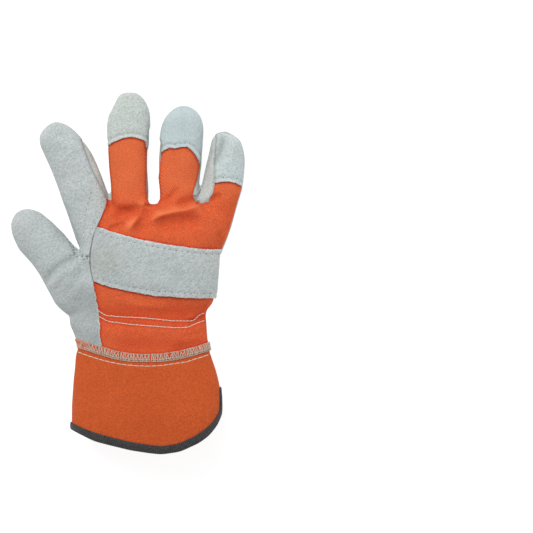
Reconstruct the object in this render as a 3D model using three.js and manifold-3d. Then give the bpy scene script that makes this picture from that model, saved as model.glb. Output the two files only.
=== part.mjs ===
// A right-hand rigger work glove, resting on its palm: split-leather palm, thumb, index finger and
// fingertips, an orange cotton back with a leather knuckle strap, and a stiff open safety cuff
// with a bound hem. Millimetres, +Z up, fingers towards +Y, thumb towards -X.
//
// The glove is drawn in pattern space, where the middle of the wrist lies at the origin on the cuff
// seam. One stack of tapered tubes, the hand and its five fingers, gives the outer surface. The same
// stack at other offsets gives each wall's outside and inside, and plan outlines cut the walls
// into the panels that are sewn together.

import * as THREE from "three";
import { mergeVertices } from "three/addons/utils/BufferGeometryUtils.js";
import Module from "manifold-3d";

// Hand and wrist
const handLength = 110; // cuff seam to the crotches of the fingers
const palmWidth = 116; // across the knuckles
const palmHeight = 36; // thickness of the hand, resting on the palm

// Fingers: the middle finger's length from inside the hand, and a finger's usual width and height
const fingerLength = 108;
const fingerWidth = 32;
const fingerHeight = 24;

// Cuff
const cuffLength = 79; // wrist seam to the lowest point of the hem
const cuffFlareThumb = 5; // how far the cuff stands out past the wrist, on the thumb side
const cuffFlareLittle = 10.5; // the same on the little-finger side
const cuffHeight = 50; // height of the opening at the hem
const seamDip = 10; // how far the cuff seam dips in the middle
const slitLength = 50; // open slit on the little-finger side, from the hem upwards
const slitWidth = 16; // how far the slit opens at the hem
const slitHeight = 21; // height of the slit above the floor

// Folds in the back
const foldDepth = 2;
const foldWidth = 6;

// Materials
const leatherWall = 1.4;
const clothWall = 1;
const clothRecess = 0.8; // the cloth lies this far below the face of the leather
const cuffWall = 1.2;
const bindingWall = 1.4;
const bindingWidth = 7; // face of the binding tape, on each side of the hem
const strapWall = 1.4;
const gap = 0.3; // clearance between neighbouring pieces

// Trim
const strapWidth = 40; // knuckle strap, at its thumb end
const patchLength = 27; // leather that runs on over the palm side of the cuff
const patchWidth = 75;
const patchCorner = 8; // corners of the patch
const sideSeamHeight = 11; // height of the seam between the back and the palm side
const forkSeamHeight = 5.5; // lower seam of the strips between the fingers
const fingerSink = 2.5; // how much of a finger's round underside is pressed flat
const handSink = 3.5; // the same for the hand

// Mesh
const handRing = 26;
const fingerRing = 14;
const domeSteps = 4;
const reach = 400; // half the side of a cutting block
const seamSteps = 16;

// Stations of the hand from the hem to the finger crotches. along is a share of handLength, or of
// cuffLength below the seam; left and right are shares of palmWidth from the middle of the wrist;
// height is a share of palmHeight, or below the seam the way from the wrist's height to the
// hem's; flareLeft and flareRight are shares of the cuff's two flares.
const handStations = [
  { along: -1.3, left: -0.427, right: 0.427, height: 1, flareLeft: 1.1, flareRight: 1 },
  { along: -1.0, left: -0.427, right: 0.427, height: 1, flareLeft: 1.1, flareRight: 1 },
  { along: -0.78, left: -0.427, right: 0.427, height: 0.93, flareLeft: 1, flareRight: 1 },
  { along: -0.6, left: -0.427, right: 0.427, height: 0.8, flareLeft: 0.78, flareRight: 1 },
  { along: -0.45, left: -0.427, right: 0.427, height: 0.62, flareLeft: 0.5, flareRight: 0.95 },
  { along: -0.33, left: -0.427, right: 0.427, height: 0.44, flareLeft: 0.45, flareRight: 0.8 },
  { along: -0.18, left: -0.427, right: 0.427, height: 0.22, flareLeft: 0.3, flareRight: 0.43 },
  { along: -0.06, left: -0.427, right: 0.427, height: 0.05, flareLeft: 0.15, flareRight: 0.1 },
  { along: 0.05, left: -0.428, right: 0.425, height: 1.02, flareLeft: 0, flareRight: 0 },
  { along: 0.13, left: -0.447, right: 0.412, height: 1.0, flareLeft: 0, flareRight: 0 },
  { along: 0.2, left: -0.46, right: 0.404, height: 0.93, flareLeft: 0, flareRight: 0 },
  { along: 0.26, left: -0.46, right: 0.4, height: 0.9, flareLeft: 0, flareRight: 0 },
  { along: 0.31, left: -0.455, right: 0.43, height: 0.95, flareLeft: 0, flareRight: 0 },
  { along: 0.38, left: -0.447, right: 0.468, height: 0.99, flareLeft: 0, flareRight: 0 },
  { along: 0.48, left: -0.435, right: 0.483, height: 1.0, flareLeft: 0, flareRight: 0 },
  { along: 0.6, left: -0.415, right: 0.488, height: 0.99, flareLeft: 0, flareRight: 0 },
  { along: 0.7, left: -0.405, right: 0.515, height: 0.96, flareLeft: 0, flareRight: 0 },
  { along: 0.8, left: -0.378, right: 0.554, height: 0.9, flareLeft: 0, flareRight: 0 },
  { along: 0.9, left: -0.34, right: 0.578, height: 0.83, flareLeft: 0, flareRight: 0 },
];

// Fingers. x and y place the root as shares of palmWidth and handLength, tilt is degrees from +Y
// towards the little finger, length, width and height are shares of fingerLength, fingerWidth and
// fingerHeight, and bow is how far the axis bends sideways, as a share of length.
const fingers = [
  { name: "thumb", x: -0.317, y: 0.314, tilt: -40, length: 0.833, width: 1.03, height: 1.04, bow: 0 },
  { name: "index", x: -0.235, y: 0.627, tilt: -21.5, length: 1.014, width: 1.044, height: 1, bow: 0.022 },
  { name: "middle", x: -0.082, y: 0.782, tilt: 0, length: 0.998, width: 0.975, height: 1, bow: -0.012 },
  { name: "ring", x: 0.218, y: 0.764, tilt: 3.2, length: 0.922, width: 1, height: 0.96, bow: 0 },
  { name: "little", x: 0.4, y: 0.62, tilt: 9.8, length: 0.902, width: 0.89, height: 0.875, bow: 0.02 },
].map((row) => ({
  ...row,
  length: row.length * fingerLength,
  width: row.width * fingerWidth,
  height: row.height * fingerHeight,
}));

// How a finger's section changes from root to tip: shares of its length, width and height.
const fingerSections = [
  { at: 0, width: 0.6, height: 1.1 },
  { at: 0.08, width: 0.86, height: 1.12 },
  { at: 0.16, width: 0.98, height: 1.12 },
  { at: 0.28, width: 0.95, height: 1.06 },
  { at: 0.42, width: 0.94, height: 1.02 },
  { at: 0.56, width: 0.97, height: 1.0 },
  { at: 0.7, width: 1.0, height: 0.97 },
];
const thumbSections = [
  { at: 0, width: 1.3, height: 1.28 },
  { at: 0.1, width: 1.32, height: 1.26 },
  { at: 0.2, width: 1.3, height: 1.22 },
  { at: 0.3, width: 1.2, height: 1.16 },
  { at: 0.4, width: 1.08, height: 1.08 },
  { at: 0.52, width: 1.0, height: 1.04 },
  { at: 0.64, width: 0.98, height: 1.0 },
  { at: 0.74, width: 0.97, height: 0.97 },
];
const fingerDome = 0.62; // length of a fingertip's rounding, as a share of the finger's width

// Leather edge of each fingertip: where it crosses the axis, as a share of length, how far its two
// ends fall back, and how far it leans to one side.
const tipEdges = [
  { name: "middle", at: 0.687, fall: 0.05, lean: 0 },
  { name: "ring", at: 0.685, fall: 0.07, lean: -0.03 },
  { name: "little", at: 0.614, fall: 0.03, lean: -0.02 },
];

// Strips between two fingers: from the crotch, at leftRoot and rightRoot along the two fingers, to
// their ends. The strips' widths on the back are shares of half a finger's width.
const forks = [
  { name: "index_middle", left: "index", right: "middle", leftRoot: 0.36, rightRoot: 0.18 },
  { name: "middle_ring", left: "middle", right: "ring", leftRoot: 0.2, rightRoot: 0.23 },
  { name: "ring_little", left: "ring", right: "little", leftRoot: 0.24, rightRoot: 0.418 },
];
const forkStrips = [
  { finger: "index", side: 1, root: 0.26, middle: 0.24, tip: 0.2 },
  { finger: "middle", side: -1, root: 0.14, middle: 0.1, tip: 0.14 },
  { finger: "middle", side: 1, root: 0.14, middle: 0.1, tip: 0.14 },
  { finger: "ring", side: -1, root: 0.16, middle: 0.16, tip: 0.2 },
  { finger: "ring", side: 1, root: 0.34, middle: 0.18, tip: 0.2 },
  { finger: "little", side: -1, root: 0.5, middle: 0.42, tip: 0.34 },
];
const stripEnd = 0.86; // where a strip ends, as a share of the finger's length

// Thumb-side edge of the cloth on the back, from the crotch down to the cuff, as shares of palmWidth
// and handLength. The rows with strap 1 are also the end of the knuckle strap.
const clothEdge = [
  { across: -0.278, along: 2.2, strap: 0 },
  { across: -0.278, along: 1.37, strap: 0 },
  { across: -0.233, along: 1.043, strap: 0 },
  { across: -0.239, along: 0.989, strap: 0 },
  { across: -0.259, along: 0.934, strap: 0 },
  { across: -0.294, along: 0.854, strap: 1 },
  { across: -0.325, along: 0.755, strap: 1 },
  { across: -0.341, along: 0.631, strap: 1 },
  { across: -0.329, along: 0.532, strap: 1 },
  { across: -0.318, along: 0.474, strap: 1 },
  { across: -0.304, along: 0.389, strap: 0 },
  { across: -0.278, along: 0.28, strap: 0 },
  { across: -0.278, along: 0.143, strap: 0 },
  { across: -0.265, along: -0.3, strap: 0 },
];

// Upper edge of the knuckle strap, and its width there as a share of strapWidth.
const strapEdge = [
  { across: -0.098, along: 0.783, width: 1.01 },
  { across: 0.169, along: 0.722, width: 0.95 },
  { across: 0.49, along: 0.685, width: 0.89 },
  { across: 0.8, along: 0.66, width: 0.87 },
];

// Line between the index finger's leather and the thumb's, from the open space to the strap.
const thumbLine = [
  { across: -0.795, along: 1.37 },
  { across: -0.537, along: 0.907 },
  { across: -0.42, along: 0.661 },
  { across: -0.2, along: 0.6 },
];

// Edge of the piece set in below the middle and ring fingers, on the palm side.
const frontEdge = [
  { across: -0.278, along: 2.2 },
  { across: -0.278, along: 1.37 },
  { across: -0.22, along: 1.05 },
  { across: -0.2, along: 0.907 },
  { across: -0.155, along: 0.873 },
  { across: -0.032, along: 0.866 },
  { across: 0.065, along: 0.88 },
  { across: 0.194, along: 0.866 },
  { across: 0.278, along: 0.873 },
  { across: 0.317, along: 0.914 },
  { across: 0.365, along: 1.077 },
  { across: 0.388, along: 1.37 },
  { across: 0.42, along: 1.575 },
  { across: 0.42, along: 2.2 },
];

// Hem of the back flap and of the palm flap, as shares of palmWidth and of cuffLength below the seam.
const backHem = [
  { across: -1.2, along: -0.6 },
  { across: -0.46, along: -0.73 },
  { across: -0.3, along: -0.855 },
  { across: -0.07, along: -0.94 },
  { across: 0.13, along: -0.98 },
  { across: 0.25, along: -0.95 },
  { across: 0.36, along: -0.87 },
  { across: 0.43, along: -0.8 },
  { across: 0.48, along: -0.7 },
  { across: 0.51, along: -0.6 },
  { across: 0.53, along: -0.48 },
  { across: 1.2, along: -0.4 },
];
const palmHem = [
  { across: -1.2, along: -0.6 },
  { across: -0.46, along: -0.72 },
  { across: -0.3, along: -0.83 },
  { across: -0.07, along: -0.92 },
  { across: 0.13, along: -0.95 },
  { across: 0.25, along: -0.93 },
  { across: 0.34, along: -0.86 },
  { across: 0.4, along: -0.76 },
  { across: 0.44, along: -0.62 },
  { across: 0.46, along: -0.5 },
  { across: 1.2, along: -0.42 },
];

// Folds pressed into the back: ends as shares of palmWidth and handLength, with depth and width as
// shares of foldDepth and foldWidth.
const folds = [
  { name: "thumb crease", from: [-0.43, 0.62], to: [-0.62, 0.47], depth: 1.3, width: 1 },
  { name: "thumb root", from: [-0.4, 0.5], to: [-0.52, 0.36], depth: 0.7, width: 1 },
  { name: "middle knuckle", from: [-0.16, 0.97], to: [-0.05, 0.95], depth: 0.8, width: 1 },
  { name: "index side", from: [-0.09, 0.96], to: [-0.2, 0.82], depth: 0.65, width: 1 },
  { name: "ring knuckle", from: [0.06, 0.87], to: [0.38, 0.93], depth: 0.8, width: 1.2 },
  { name: "elastic", from: [-0.28, 0.19], to: [0.42, 0.19], depth: 0.9, width: 1 },
];

const wasm = await Module();
wasm.setup();
const { lerp, clamp, degToRad } = THREE.MathUtils;
const xAxis = new THREE.Vector3(1, 0, 0);
const yAxis = new THREE.Vector3(0, 1, 0);
const zAxis = new THREE.Vector3(0, 0, 1);

// A closed three.js geometry as a solid that can be cut and joined.
function solid(geometry) {
  const bare = new THREE.BufferGeometry();
  bare.setAttribute("position", geometry.getAttribute("position"));
  if (geometry.index) bare.setIndex(geometry.index);
  const merged = mergeVertices(bare, 1e-4);
  return new wasm.Manifold(
    new wasm.Mesh({
      numProp: 3,
      vertProperties: new Float32Array(merged.attributes.position.array),
      triVerts: new Uint32Array(merged.index.array),
    }),
  );
}

const joined = (solids) => solids.reduce((whole, one) => whole.add(one));
const without = (whole, solids) => solids.reduce((rest, one) => rest.subtract(one), whole);

// An upright prism over a plan outline given as [x, y] points.
function prism(outline, low = -reach, high = reach) {
  const shape = new THREE.Shape(outline.map(([x, y]) => new THREE.Vector2(x, y)));
  const geometry = new THREE.ExtrudeGeometry(shape, { depth: high - low, bevelEnabled: false });
  geometry.translate(0, 0, low);
  return solid(geometry);
}

// A closed outline with every side moved outwards.
function grown(outline, distance) {
  const turning = THREE.ShapeUtils.area(outline.map(([x, y]) => new THREE.Vector2(x, y)));
  const outward = Math.sign(turning) * distance;
  return outline.map((point, i) => {
    const before = outline.at(i - 1);
    const after = outline[(i + 1) % outline.length];
    const first = new THREE.Vector2(point[1] - before[1], before[0] - point[0]).normalize();
    const second = new THREE.Vector2(after[1] - point[1], point[0] - after[0]).normalize();
    const bisector = first.clone().add(second).normalize();
    const stretch = outward / Math.max(bisector.dot(first), 0.5);
    return [point[0] + bisector.x * stretch, point[1] + bisector.y * stretch];
  });
}

// Points of a table of shares, in millimetres.
const handPoints = (rows) => rows.map((row) => [row.across * palmWidth, row.along * handLength]);
const cuffPoints = (rows) => rows.map((row) => [row.across * palmWidth, row.along * cuffLength]);

// Value of a table's column at a place along it, between rows.
function column(rows, key, place, value) {
  const next = rows.findIndex((row) => row[key] >= place);
  if (next <= 0) return rows[next < 0 ? rows.length - 1 : 0][value];
  const [low, high] = [rows[next - 1], rows[next]];
  return lerp(low[value], high[value], (place - low[key]) / (high[key] - low[key]));
}

// The hand's stations in millimetres: middle, half width, top and place along Y.
function handSections() {
  const wristHeight = palmHeight * handStations.find((row) => row.along > 0).height;
  return handStations.map((row) => {
    const below = row.along < 0;
    const left = row.left * palmWidth - row.flareLeft * cuffFlareThumb;
    const right = row.right * palmWidth + row.flareRight * cuffFlareLittle;
    return {
      y: row.along * (below ? cuffLength : handLength),
      x: (left + right) / 2,
      half: (right - left) / 2,
      top: below ? lerp(wristHeight, cuffHeight, row.height) : row.height * palmHeight,
      sink: handSink,
      across: [-1, 0],
      shrink: 1,
    };
  });
}

// How far the folds press the back down at a place.
function foldAt(x, y) {
  let depth = 0;
  for (const fold of folds) {
    const from = new THREE.Vector2(fold.from[0] * palmWidth, fold.from[1] * handLength);
    const to = new THREE.Vector2(fold.to[0] * palmWidth, fold.to[1] * handLength);
    const along = to.clone().sub(from);
    const place = new THREE.Vector2(x, y).sub(from);
    const share = clamp(place.dot(along) / along.lengthSq(), 0, 1);
    const away = place.sub(along.multiplyScalar(share)).length();
    depth += fold.depth * foldDepth * Math.exp(-((away / (fold.width * foldWidth)) ** 2));
  }
  return depth;
}

// One ring of a tube: a soft oval in the upright plane across the axis, pressed flat on the floor.
// offset moves it out, and tuck draws in its lower half, under a layer that lies outside it.
function ring(section, count, offset, tuck) {
  const { x, y, half, top, sink, across, shrink } = section;
  const middle = (top - sink) / 2;
  const rise = (top + sink) / 2;
  const points = [];
  for (let i = 0; i < count; i += 1) {
    const turn = (2 * Math.PI * i) / count;
    const level = Math.sin(turn);
    const drawn = offset - tuck * (1 - THREE.MathUtils.smoothstep(level, -0.3, 0.2));
    const side = Math.sign(Math.cos(turn)) * Math.abs(Math.cos(turn)) ** 0.86;
    const out = side * (half + drawn) * shrink;
    const px = x + across[0] * out;
    const py = y + across[1] * out;
    const pressed = level > 0 ? foldAt(px, py) * level * shrink : 0;
    const lift = Math.sign(level) * Math.abs(level) ** 0.92 * (rise + drawn) * shrink;
    points.push([px, py, Math.max(middle + lift - pressed, Math.max(0, -drawn))]);
  }
  return points;
}

// A closed tube through rings, with both ends brought to a point.
function tube(rings, start, end) {
  const count = rings[0].length;
  const points = rings.flat();
  const first = points.push(start) - 1;
  const last = points.push(end) - 1;
  const faces = [];
  for (let r = 0; r + 1 < rings.length; r += 1) {
    for (let i = 0; i < count; i += 1) {
      const a = r * count + i;
      const b = r * count + ((i + 1) % count);
      faces.push(a, b, b + count, a, b + count, a + count);
    }
  }
  const top = (rings.length - 1) * count;
  for (let i = 0; i < count; i += 1) {
    faces.push(first, (i + 1) % count, i);
    faces.push(last, top + i, top + ((i + 1) % count));
  }
  const geometry = new THREE.BufferGeometry();
  geometry.setAttribute("position", new THREE.Float32BufferAttribute(points.flat(), 3));
  geometry.setIndex(faces);
  return solid(geometry);
}

// A tube with a rounded far end: its last section shrinks along a quarter ellipse.
function roundedTube(sections, direction, dome, count, offset, tuck = 0) {
  const last = sections.at(-1);
  const rings = sections.map((section) => ring(section, count, offset, tuck));
  for (let step = 1; step < domeSteps + 1; step += 1) {
    const turn = (Math.PI / 2) * (step / (domeSteps + 0.35));
    const along = Math.sin(turn) * (dome + offset);
    const at = {
      ...last,
      x: last.x + direction[0] * along,
      y: last.y + direction[1] * along,
      shrink: Math.cos(turn),
    };
    rings.push(ring(at, count, offset, tuck));
  }
  const far = dome + offset;
  const start = [sections[0].x, sections[0].y, sections[0].top / 2];
  const end = [last.x + direction[0] * far, last.y + direction[1] * far, (last.top - last.sink) / 2];
  return tube(rings, start, end);
}

function handTube(offset, tuck) {
  const sections = handSections();
  return roundedTube(sections, [0, 1], handLength - sections.at(-1).y + 1, handRing, offset, tuck);
}

const fingerNamed = (name) => fingers.find((finger) => finger.name === name);
const sectionsOf = (finger) => (finger.name === "thumb" ? thumbSections : fingerSections);

// Place on a finger in plan: at is a share of its length, side a share of its half width.
function fingerPlace(finger, at, side) {
  const lean = degToRad(finger.tilt);
  const half = (column(sectionsOf(finger), "at", at, "width") * finger.width) / 2;
  const bend = finger.bow * finger.length * Math.sin(Math.PI * at) + side * half;
  return [
    finger.x * palmWidth + Math.sin(lean) * finger.length * at + Math.cos(lean) * bend,
    finger.y * handLength + Math.cos(lean) * finger.length * at - Math.sin(lean) * bend,
  ];
}

function fingerTube(finger, offset) {
  const lean = degToRad(finger.tilt);
  const dome = finger.width * fingerDome;
  const last = 1 - dome / finger.length;
  const places = sectionsOf(finger).map((row) => row.at).filter((at) => at < last - 0.02);
  const sections = [...places, last].map((at) => {
    const [x, y] = fingerPlace(finger, at, 0);
    return {
      x,
      y,
      half: (column(sectionsOf(finger), "at", at, "width") * finger.width) / 2,
      top: column(sectionsOf(finger), "at", at, "height") * finger.height,
      sink: fingerSink,
      across: [-Math.cos(lean), Math.sin(lean)],
      shrink: 1,
    };
  });
  return roundedTube(sections, [Math.sin(lean), Math.cos(lean)], dome, fingerRing, offset);
}

// The whole glove as a full solid, its surface at an offset from the face of the leather.
const body = (offset) => joined([handTube(offset), ...fingers.map((finger) => fingerTube(finger, offset))]);

// Walls
const leatherInside = body(-leatherWall);
const leather = body(0).subtract(leatherInside);
const cloth = body(-clothRecess).subtract(body(-clothRecess - clothWall));
const strapGap = clothRecess - gap;
const strapLayer = body(strapWall - strapGap).subtract(body(-strapGap));

// Cuff seam: a curve in plan that dips in the middle.
function seamOutline(shift) {
  const half = palmWidth / 2;
  const points = [];
  for (let i = -seamSteps; i <= seamSteps; i += 1) {
    const share = i / (seamSteps / 2);
    points.push([share * half, seamDip * (Math.min(Math.abs(share), 1) ** 2 - 0.5) + shift]);
  }
  const end = seamDip / 2 + shift;
  return [...points, [reach, end], [reach, reach], [-reach, reach], [-reach, end]];
}
const handSide = prism(seamOutline(0), -reach, reach);

// Strips between the fingers, as plan outlines.
function forkOutline(fork) {
  const place = (name, side, root) => {
    const strip = forkStrips.find((row) => row.finger === name && row.side === side);
    const finger = fingerNamed(name);
    return [
      fingerPlace(finger, root, side * (1 - strip.root)),
      fingerPlace(finger, (root + stripEnd) / 2, side * (1 - strip.middle)),
      fingerPlace(finger, stripEnd, side * (1 - strip.tip)),
      fingerPlace(finger, stripEnd + 0.03, side * 1.25),
    ];
  };
  return [...place(fork.left, 1, fork.leftRoot).reverse(), ...place(fork.right, -1, fork.rightRoot)];
}
const forkCuts = forks.map((fork) => prism(grown(forkOutline(fork), gap), forkSeamHeight - gap / 2, reach));

// Fingertip caps, as plan outlines.
function tipOutline(edge) {
  const finger = fingerNamed(edge.name);
  const sides = [-1.25, -1, -0.5, 0, 0.5, 1, 1.25];
  const height = (side) => edge.at - edge.fall * side ** 2 + edge.lean * side;
  const line = sides.map((side) => fingerPlace(finger, height(side), side));
  return [...line, fingerPlace(finger, 1.1, 1.25), fingerPlace(finger, 1.1, -1.25)];
}

const tipCuts = tipEdges.map((edge) => prism(grown(tipOutline(edge), gap)));

const clothOutline = [
  ...handPoints(clothEdge),
  [reach, clothEdge.at(-1).along * handLength],
  [reach, clothEdge[0].along * handLength],
];
const strapEnd = handPoints(clothEdge.filter((row) => row.strap));
const strapOutline = [
  ...strapEnd,
  ...strapEdge.map((row) => [row.across * palmWidth, row.along * handLength - row.width * strapWidth]),
  ...handPoints(strapEdge).reverse(),
];
const thumbOutline = [...handPoints(thumbLine), [reach, -reach], [-reach, -reach], [-reach, reach]];
const frontOutline = handPoints(frontEdge);

const backSide = handSide.intersect(prism(seamOutline(0), sideSeamHeight + gap / 2, reach));
const palmSide = handSide.intersect(prism(seamOutline(0), -reach, sideSeamHeight - gap / 2));
const leatherBack = without(leather.intersect(backSide), forkCuts);
const leatherPalm = without(leather.intersect(palmSide), forkCuts);
const clothBack = without(cloth.intersect(backSide), forkCuts);
const besideCloth = leatherBack.subtract(prism(grown(clothOutline, gap)));

// Leather that runs on over the palm side of the cuff.
const patchMiddle = (strapEdge[1].across * palmWidth) / 2;
const patchHalf = patchWidth / 2;
const patchEnd = -patchLength;
const patchOutline = [
  [patchMiddle - patchHalf, seamDip],
  [patchMiddle - patchHalf, patchEnd + patchCorner],
  [patchMiddle - patchHalf + patchCorner / 3, patchEnd + patchCorner / 3],
  [patchMiddle - patchHalf + patchCorner, patchEnd],
  [patchMiddle + patchHalf - patchCorner, patchEnd],
  [patchMiddle + patchHalf - patchCorner / 3, patchEnd + patchCorner / 3],
  [patchMiddle + patchHalf, patchEnd + patchCorner],
  [patchMiddle + patchHalf, seamDip],
];
const patch = leather.intersect(prism(patchOutline, -reach, sideSeamHeight - gap / 2));

// The cuff's wall lies inside the patch on the palm side.
const cuffOffset = -clothRecess / 2;
const cuffTuck = leatherWall + gap + cuffOffset;
const cuffTube = (offset) => handTube(cuffOffset + offset, cuffTuck);

// The slit, as a block across the little-finger side, with its edges drawn back by an inset.
function slitBlock(inset) {
  const top = slitLength - cuffLength + inset;
  const narrow = bindingWall + 2 * gap + inset;
  const wide = slitWidth / 2 + inset;
  const shape = new THREE.Shape([
    new THREE.Vector2(top, slitHeight - narrow),
    new THREE.Vector2(-cuffLength - reach, slitHeight - wide),
    new THREE.Vector2(-cuffLength - reach, slitHeight + wide),
    new THREE.Vector2(top, slitHeight + narrow),
  ]);
  const geometry = new THREE.ExtrudeGeometry(shape, { depth: reach, bevelEnabled: false });
  geometry.applyMatrix4(new THREE.Matrix4().makeBasis(yAxis, zAxis, xAxis));
  return solid(geometry);
}

// What is kept of the cuff, with its hem and both edges of the slit drawn back by an inset.
function cuffKept(inset) {
  const outline = (rows) => grown([...cuffPoints(rows), [reach, reach], [-reach, reach]], -inset);
  const back = prism(outline(backHem), slitHeight, reach);
  const palm = prism(outline(palmHem), -reach, slitHeight);
  return back.add(palm).subtract(slitBlock(inset));
}
const besideSeam = prism(seamOutline(-gap));
const cuff = cuffTube(0).subtract(cuffTube(-cuffWall)).intersect(cuffKept(0)).subtract(besideSeam);

// The binding folds round the edge: a channel with the cuff's wall in its middle.
const bound = gap + bindingWall;
const bindingBlock = cuffTube(bound).subtract(cuffTube(-cuffWall - bound));
const bindingBand = cuffKept(-bound).subtract(cuffKept(bindingWidth));
const bindingRoom = cuffTube(gap).subtract(cuffTube(-cuffWall - gap)).intersect(cuffKept(-gap));
const binding = bindingBlock.intersect(bindingBand).subtract(bindingRoom);

const colours = {
  leather: "#b9c0bd",
  fork: "#b6b5a8",
  cloth: "#cf5a36",
  cuff: "#c1512b",
  tape: "#3c3c3e",
};

const nodes = [
  { name: "palm", part: leatherPalm.subtract(prism(grown(frontOutline, gap))).add(patch), colour: "leather" },
  { name: "middle_ring_front", part: leatherPalm.intersect(prism(frontOutline)), colour: "leather" },
  { name: "index_back", part: besideCloth.subtract(prism(grown(thumbOutline, gap))), colour: "leather" },
  { name: "thumb_back", part: besideCloth.intersect(prism(thumbOutline)), colour: "leather" },
  ...forks.map((fork) => ({
    name: `fork_${fork.name}`,
    part: leather.intersect(prism(forkOutline(fork), forkSeamHeight + gap / 2)),
    colour: "fork",
  })),
  {
    name: "back_cloth",
    part: without(clothBack.intersect(prism(clothOutline)), tipCuts),
    colour: "cloth",
  },
  ...tipEdges.map((edge) => ({
    name: `tip_${edge.name}`,
    part: leatherBack.intersect(prism(tipOutline(edge))),
    colour: "leather",
  })),
  {
    name: "knuckle_strap",
    part: strapLayer.intersect(prism(strapOutline, sideSeamHeight + gap / 2)),
    colour: "leather",
  },
  { name: "cuff", part: cuff, colour: "cuff" },
  { name: "binding", part: binding, colour: "tape" },
];

// A part as a geometry, without loose slivers left by the cuts: only its largest body is kept.
function geometryOf(part) {
  const { numProp, vertProperties, triVerts } = part.getMesh();
  const cut = new THREE.BufferGeometry();
  const positions = new Float32Array((vertProperties.length / numProp) * 3);
  for (let i = 0; i < positions.length / 3; i += 1) {
    positions.set(vertProperties.subarray(i * numProp, i * numProp + 3), i * 3);
  }
  cut.setAttribute("position", new THREE.BufferAttribute(positions, 3));
  cut.setIndex(new THREE.BufferAttribute(triVerts, 1));
  const merged = mergeVertices(cut, 1e-4);
  const index = merged.index.array;
  const group = Array.from({ length: merged.attributes.position.count }, (_, i) => i);
  const root = (i) => {
    let at = i;
    while (group[at] !== at) at = group[at] = group[group[at]];
    return at;
  };
  for (let i = 0; i < index.length; i += 3) {
    group[root(index[i + 1])] = root(index[i]);
    group[root(index[i + 2])] = root(index[i]);
  }
  const sizes = new Map();
  for (const i of index) sizes.set(root(i), (sizes.get(root(i)) ?? 0) + 1);
  const largest = [...sizes].sort((a, b) => b[1] - a[1])[0][0];
  const kept = [];
  for (let i = 0; i < index.length; i += 3) {
    if (root(index[i]) === largest) kept.push(index[i], index[i + 1], index[i + 2]);
  }
  merged.setIndex(kept);
  merged.computeVertexNormals();
  return merged;
}

const glove = new THREE.Group();
for (const { name, part, colour } of nodes) {
  const material = new THREE.MeshStandardMaterial({ name: colour, color: colours[colour], roughness: 0.9 });
  const mesh = new THREE.Mesh(geometryOf(part), material);
  mesh.name = name;
  glove.add(mesh);
}

// The glove stands on the floor, with the middle of its outline at the origin.
const box = new THREE.Box3().setFromObject(glove);
const centre = box.getCenter(new THREE.Vector3());
glove.userData.shift = [-centre.x, -centre.y];
for (const mesh of glove.children) mesh.geometry.translate(-centre.x, -centre.y, -box.min.z);

export default glove;
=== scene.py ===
"""Leather work glove, dressed for the photograph.

The glove is drawn in its maker's pattern space: millimetres, the middle of the wrist at the origin,
fingers towards +Y, thumb towards -X, the floor at Z = 0. A form is lofted from the widths of the
hand and its fingers, its folds are pressed in, and the panels that are sewn together are cut out of
it. Cuff, binding, sewing and fringes are laid on those panels.
"""

import sys

import logging
import math
from dataclasses import dataclass, field
from enum import Enum
from typing import Iterable, Optional, Sequence

import bpy
import numpy as np
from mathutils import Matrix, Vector
from mathutils.bvhtree import BVHTree


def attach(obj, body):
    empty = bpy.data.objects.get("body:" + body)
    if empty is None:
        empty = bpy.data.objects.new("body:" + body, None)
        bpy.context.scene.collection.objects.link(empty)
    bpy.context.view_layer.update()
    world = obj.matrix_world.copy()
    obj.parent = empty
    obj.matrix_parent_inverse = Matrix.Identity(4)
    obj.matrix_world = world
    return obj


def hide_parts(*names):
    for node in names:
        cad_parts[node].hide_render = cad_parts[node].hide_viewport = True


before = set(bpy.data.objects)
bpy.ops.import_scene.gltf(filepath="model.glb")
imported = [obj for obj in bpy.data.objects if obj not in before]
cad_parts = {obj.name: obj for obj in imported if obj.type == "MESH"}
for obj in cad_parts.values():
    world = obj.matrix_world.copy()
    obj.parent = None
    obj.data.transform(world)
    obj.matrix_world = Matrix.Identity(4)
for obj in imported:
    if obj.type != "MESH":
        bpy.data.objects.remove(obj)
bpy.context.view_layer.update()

log = logging.getLogger("glove")

MM = 0.001
ROW_SHIFT = np.array([12.077, -57.340, 0.0])  # pattern space to the row's frame
FAR = 400.0  # beyond every edge of the glove: outlines that are open on one side run out to it
HAND_SQUARE = (0.86, 0.92)  # how square the hand's section is, in width and in height
SEAM_STEP = 0.5  # distance between two measured places along the wrist seam

Point = tuple[float, float]
Line = tuple[Point, ...]


# --- Pattern ---

SIDE_SEAM = 11.0  # height of the seam between back and palm side
FORK_SEAM = 5.5  # lower seam of the strips between the fingers

CLOTH_EDGE: Line = (
    (-34.5, 173.2), (-27.8, 150.8), (-24.5, 116.2), (-26.7, 113.2), (-28.1, 107.2), (-30.2, 102.0),
    (-32.4, 96.8), (-34.5, 92.2), (-37.1, 84.8), (-38.7, 76.5), (-39.3, 68.2), (-38.6, 60.0),
    (-36.9, 52.5), (-36.3, 48.0), (-35.2, 42.8), (-34.1, 36.8), (-32.8, 30.0), (-32.2, 21.8),
    (-31.7, 12.8), (-30.6, 3.8), (-29.2, -8.2), (-29.2, -61.8),
)
STRAP_TOP: Line = (
    (-34.4, 93.2), (-32.5, 92.5), (-24.8, 89.9), (-16.0, 87.2), (1.5, 82.9), (22.7, 79.1),
    (44.0, 76.3), (59.0, 75.8), (72.8, 75.8),
)
STRAP_BOTTOM: Line = (
    (72.8, 39.0), (52.7, 39.5), (31.5, 40.0), (9.0, 41.6), (-8.5, 44.8), (-23.5, 47.9),
    (-36.6, 52.3),
)
STRAP_END: Line = ((-38.3, 60.0), (-39.0, 68.2), (-38.4, 76.5), (-36.9, 84.8), (-35.6, 89.4))
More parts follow.
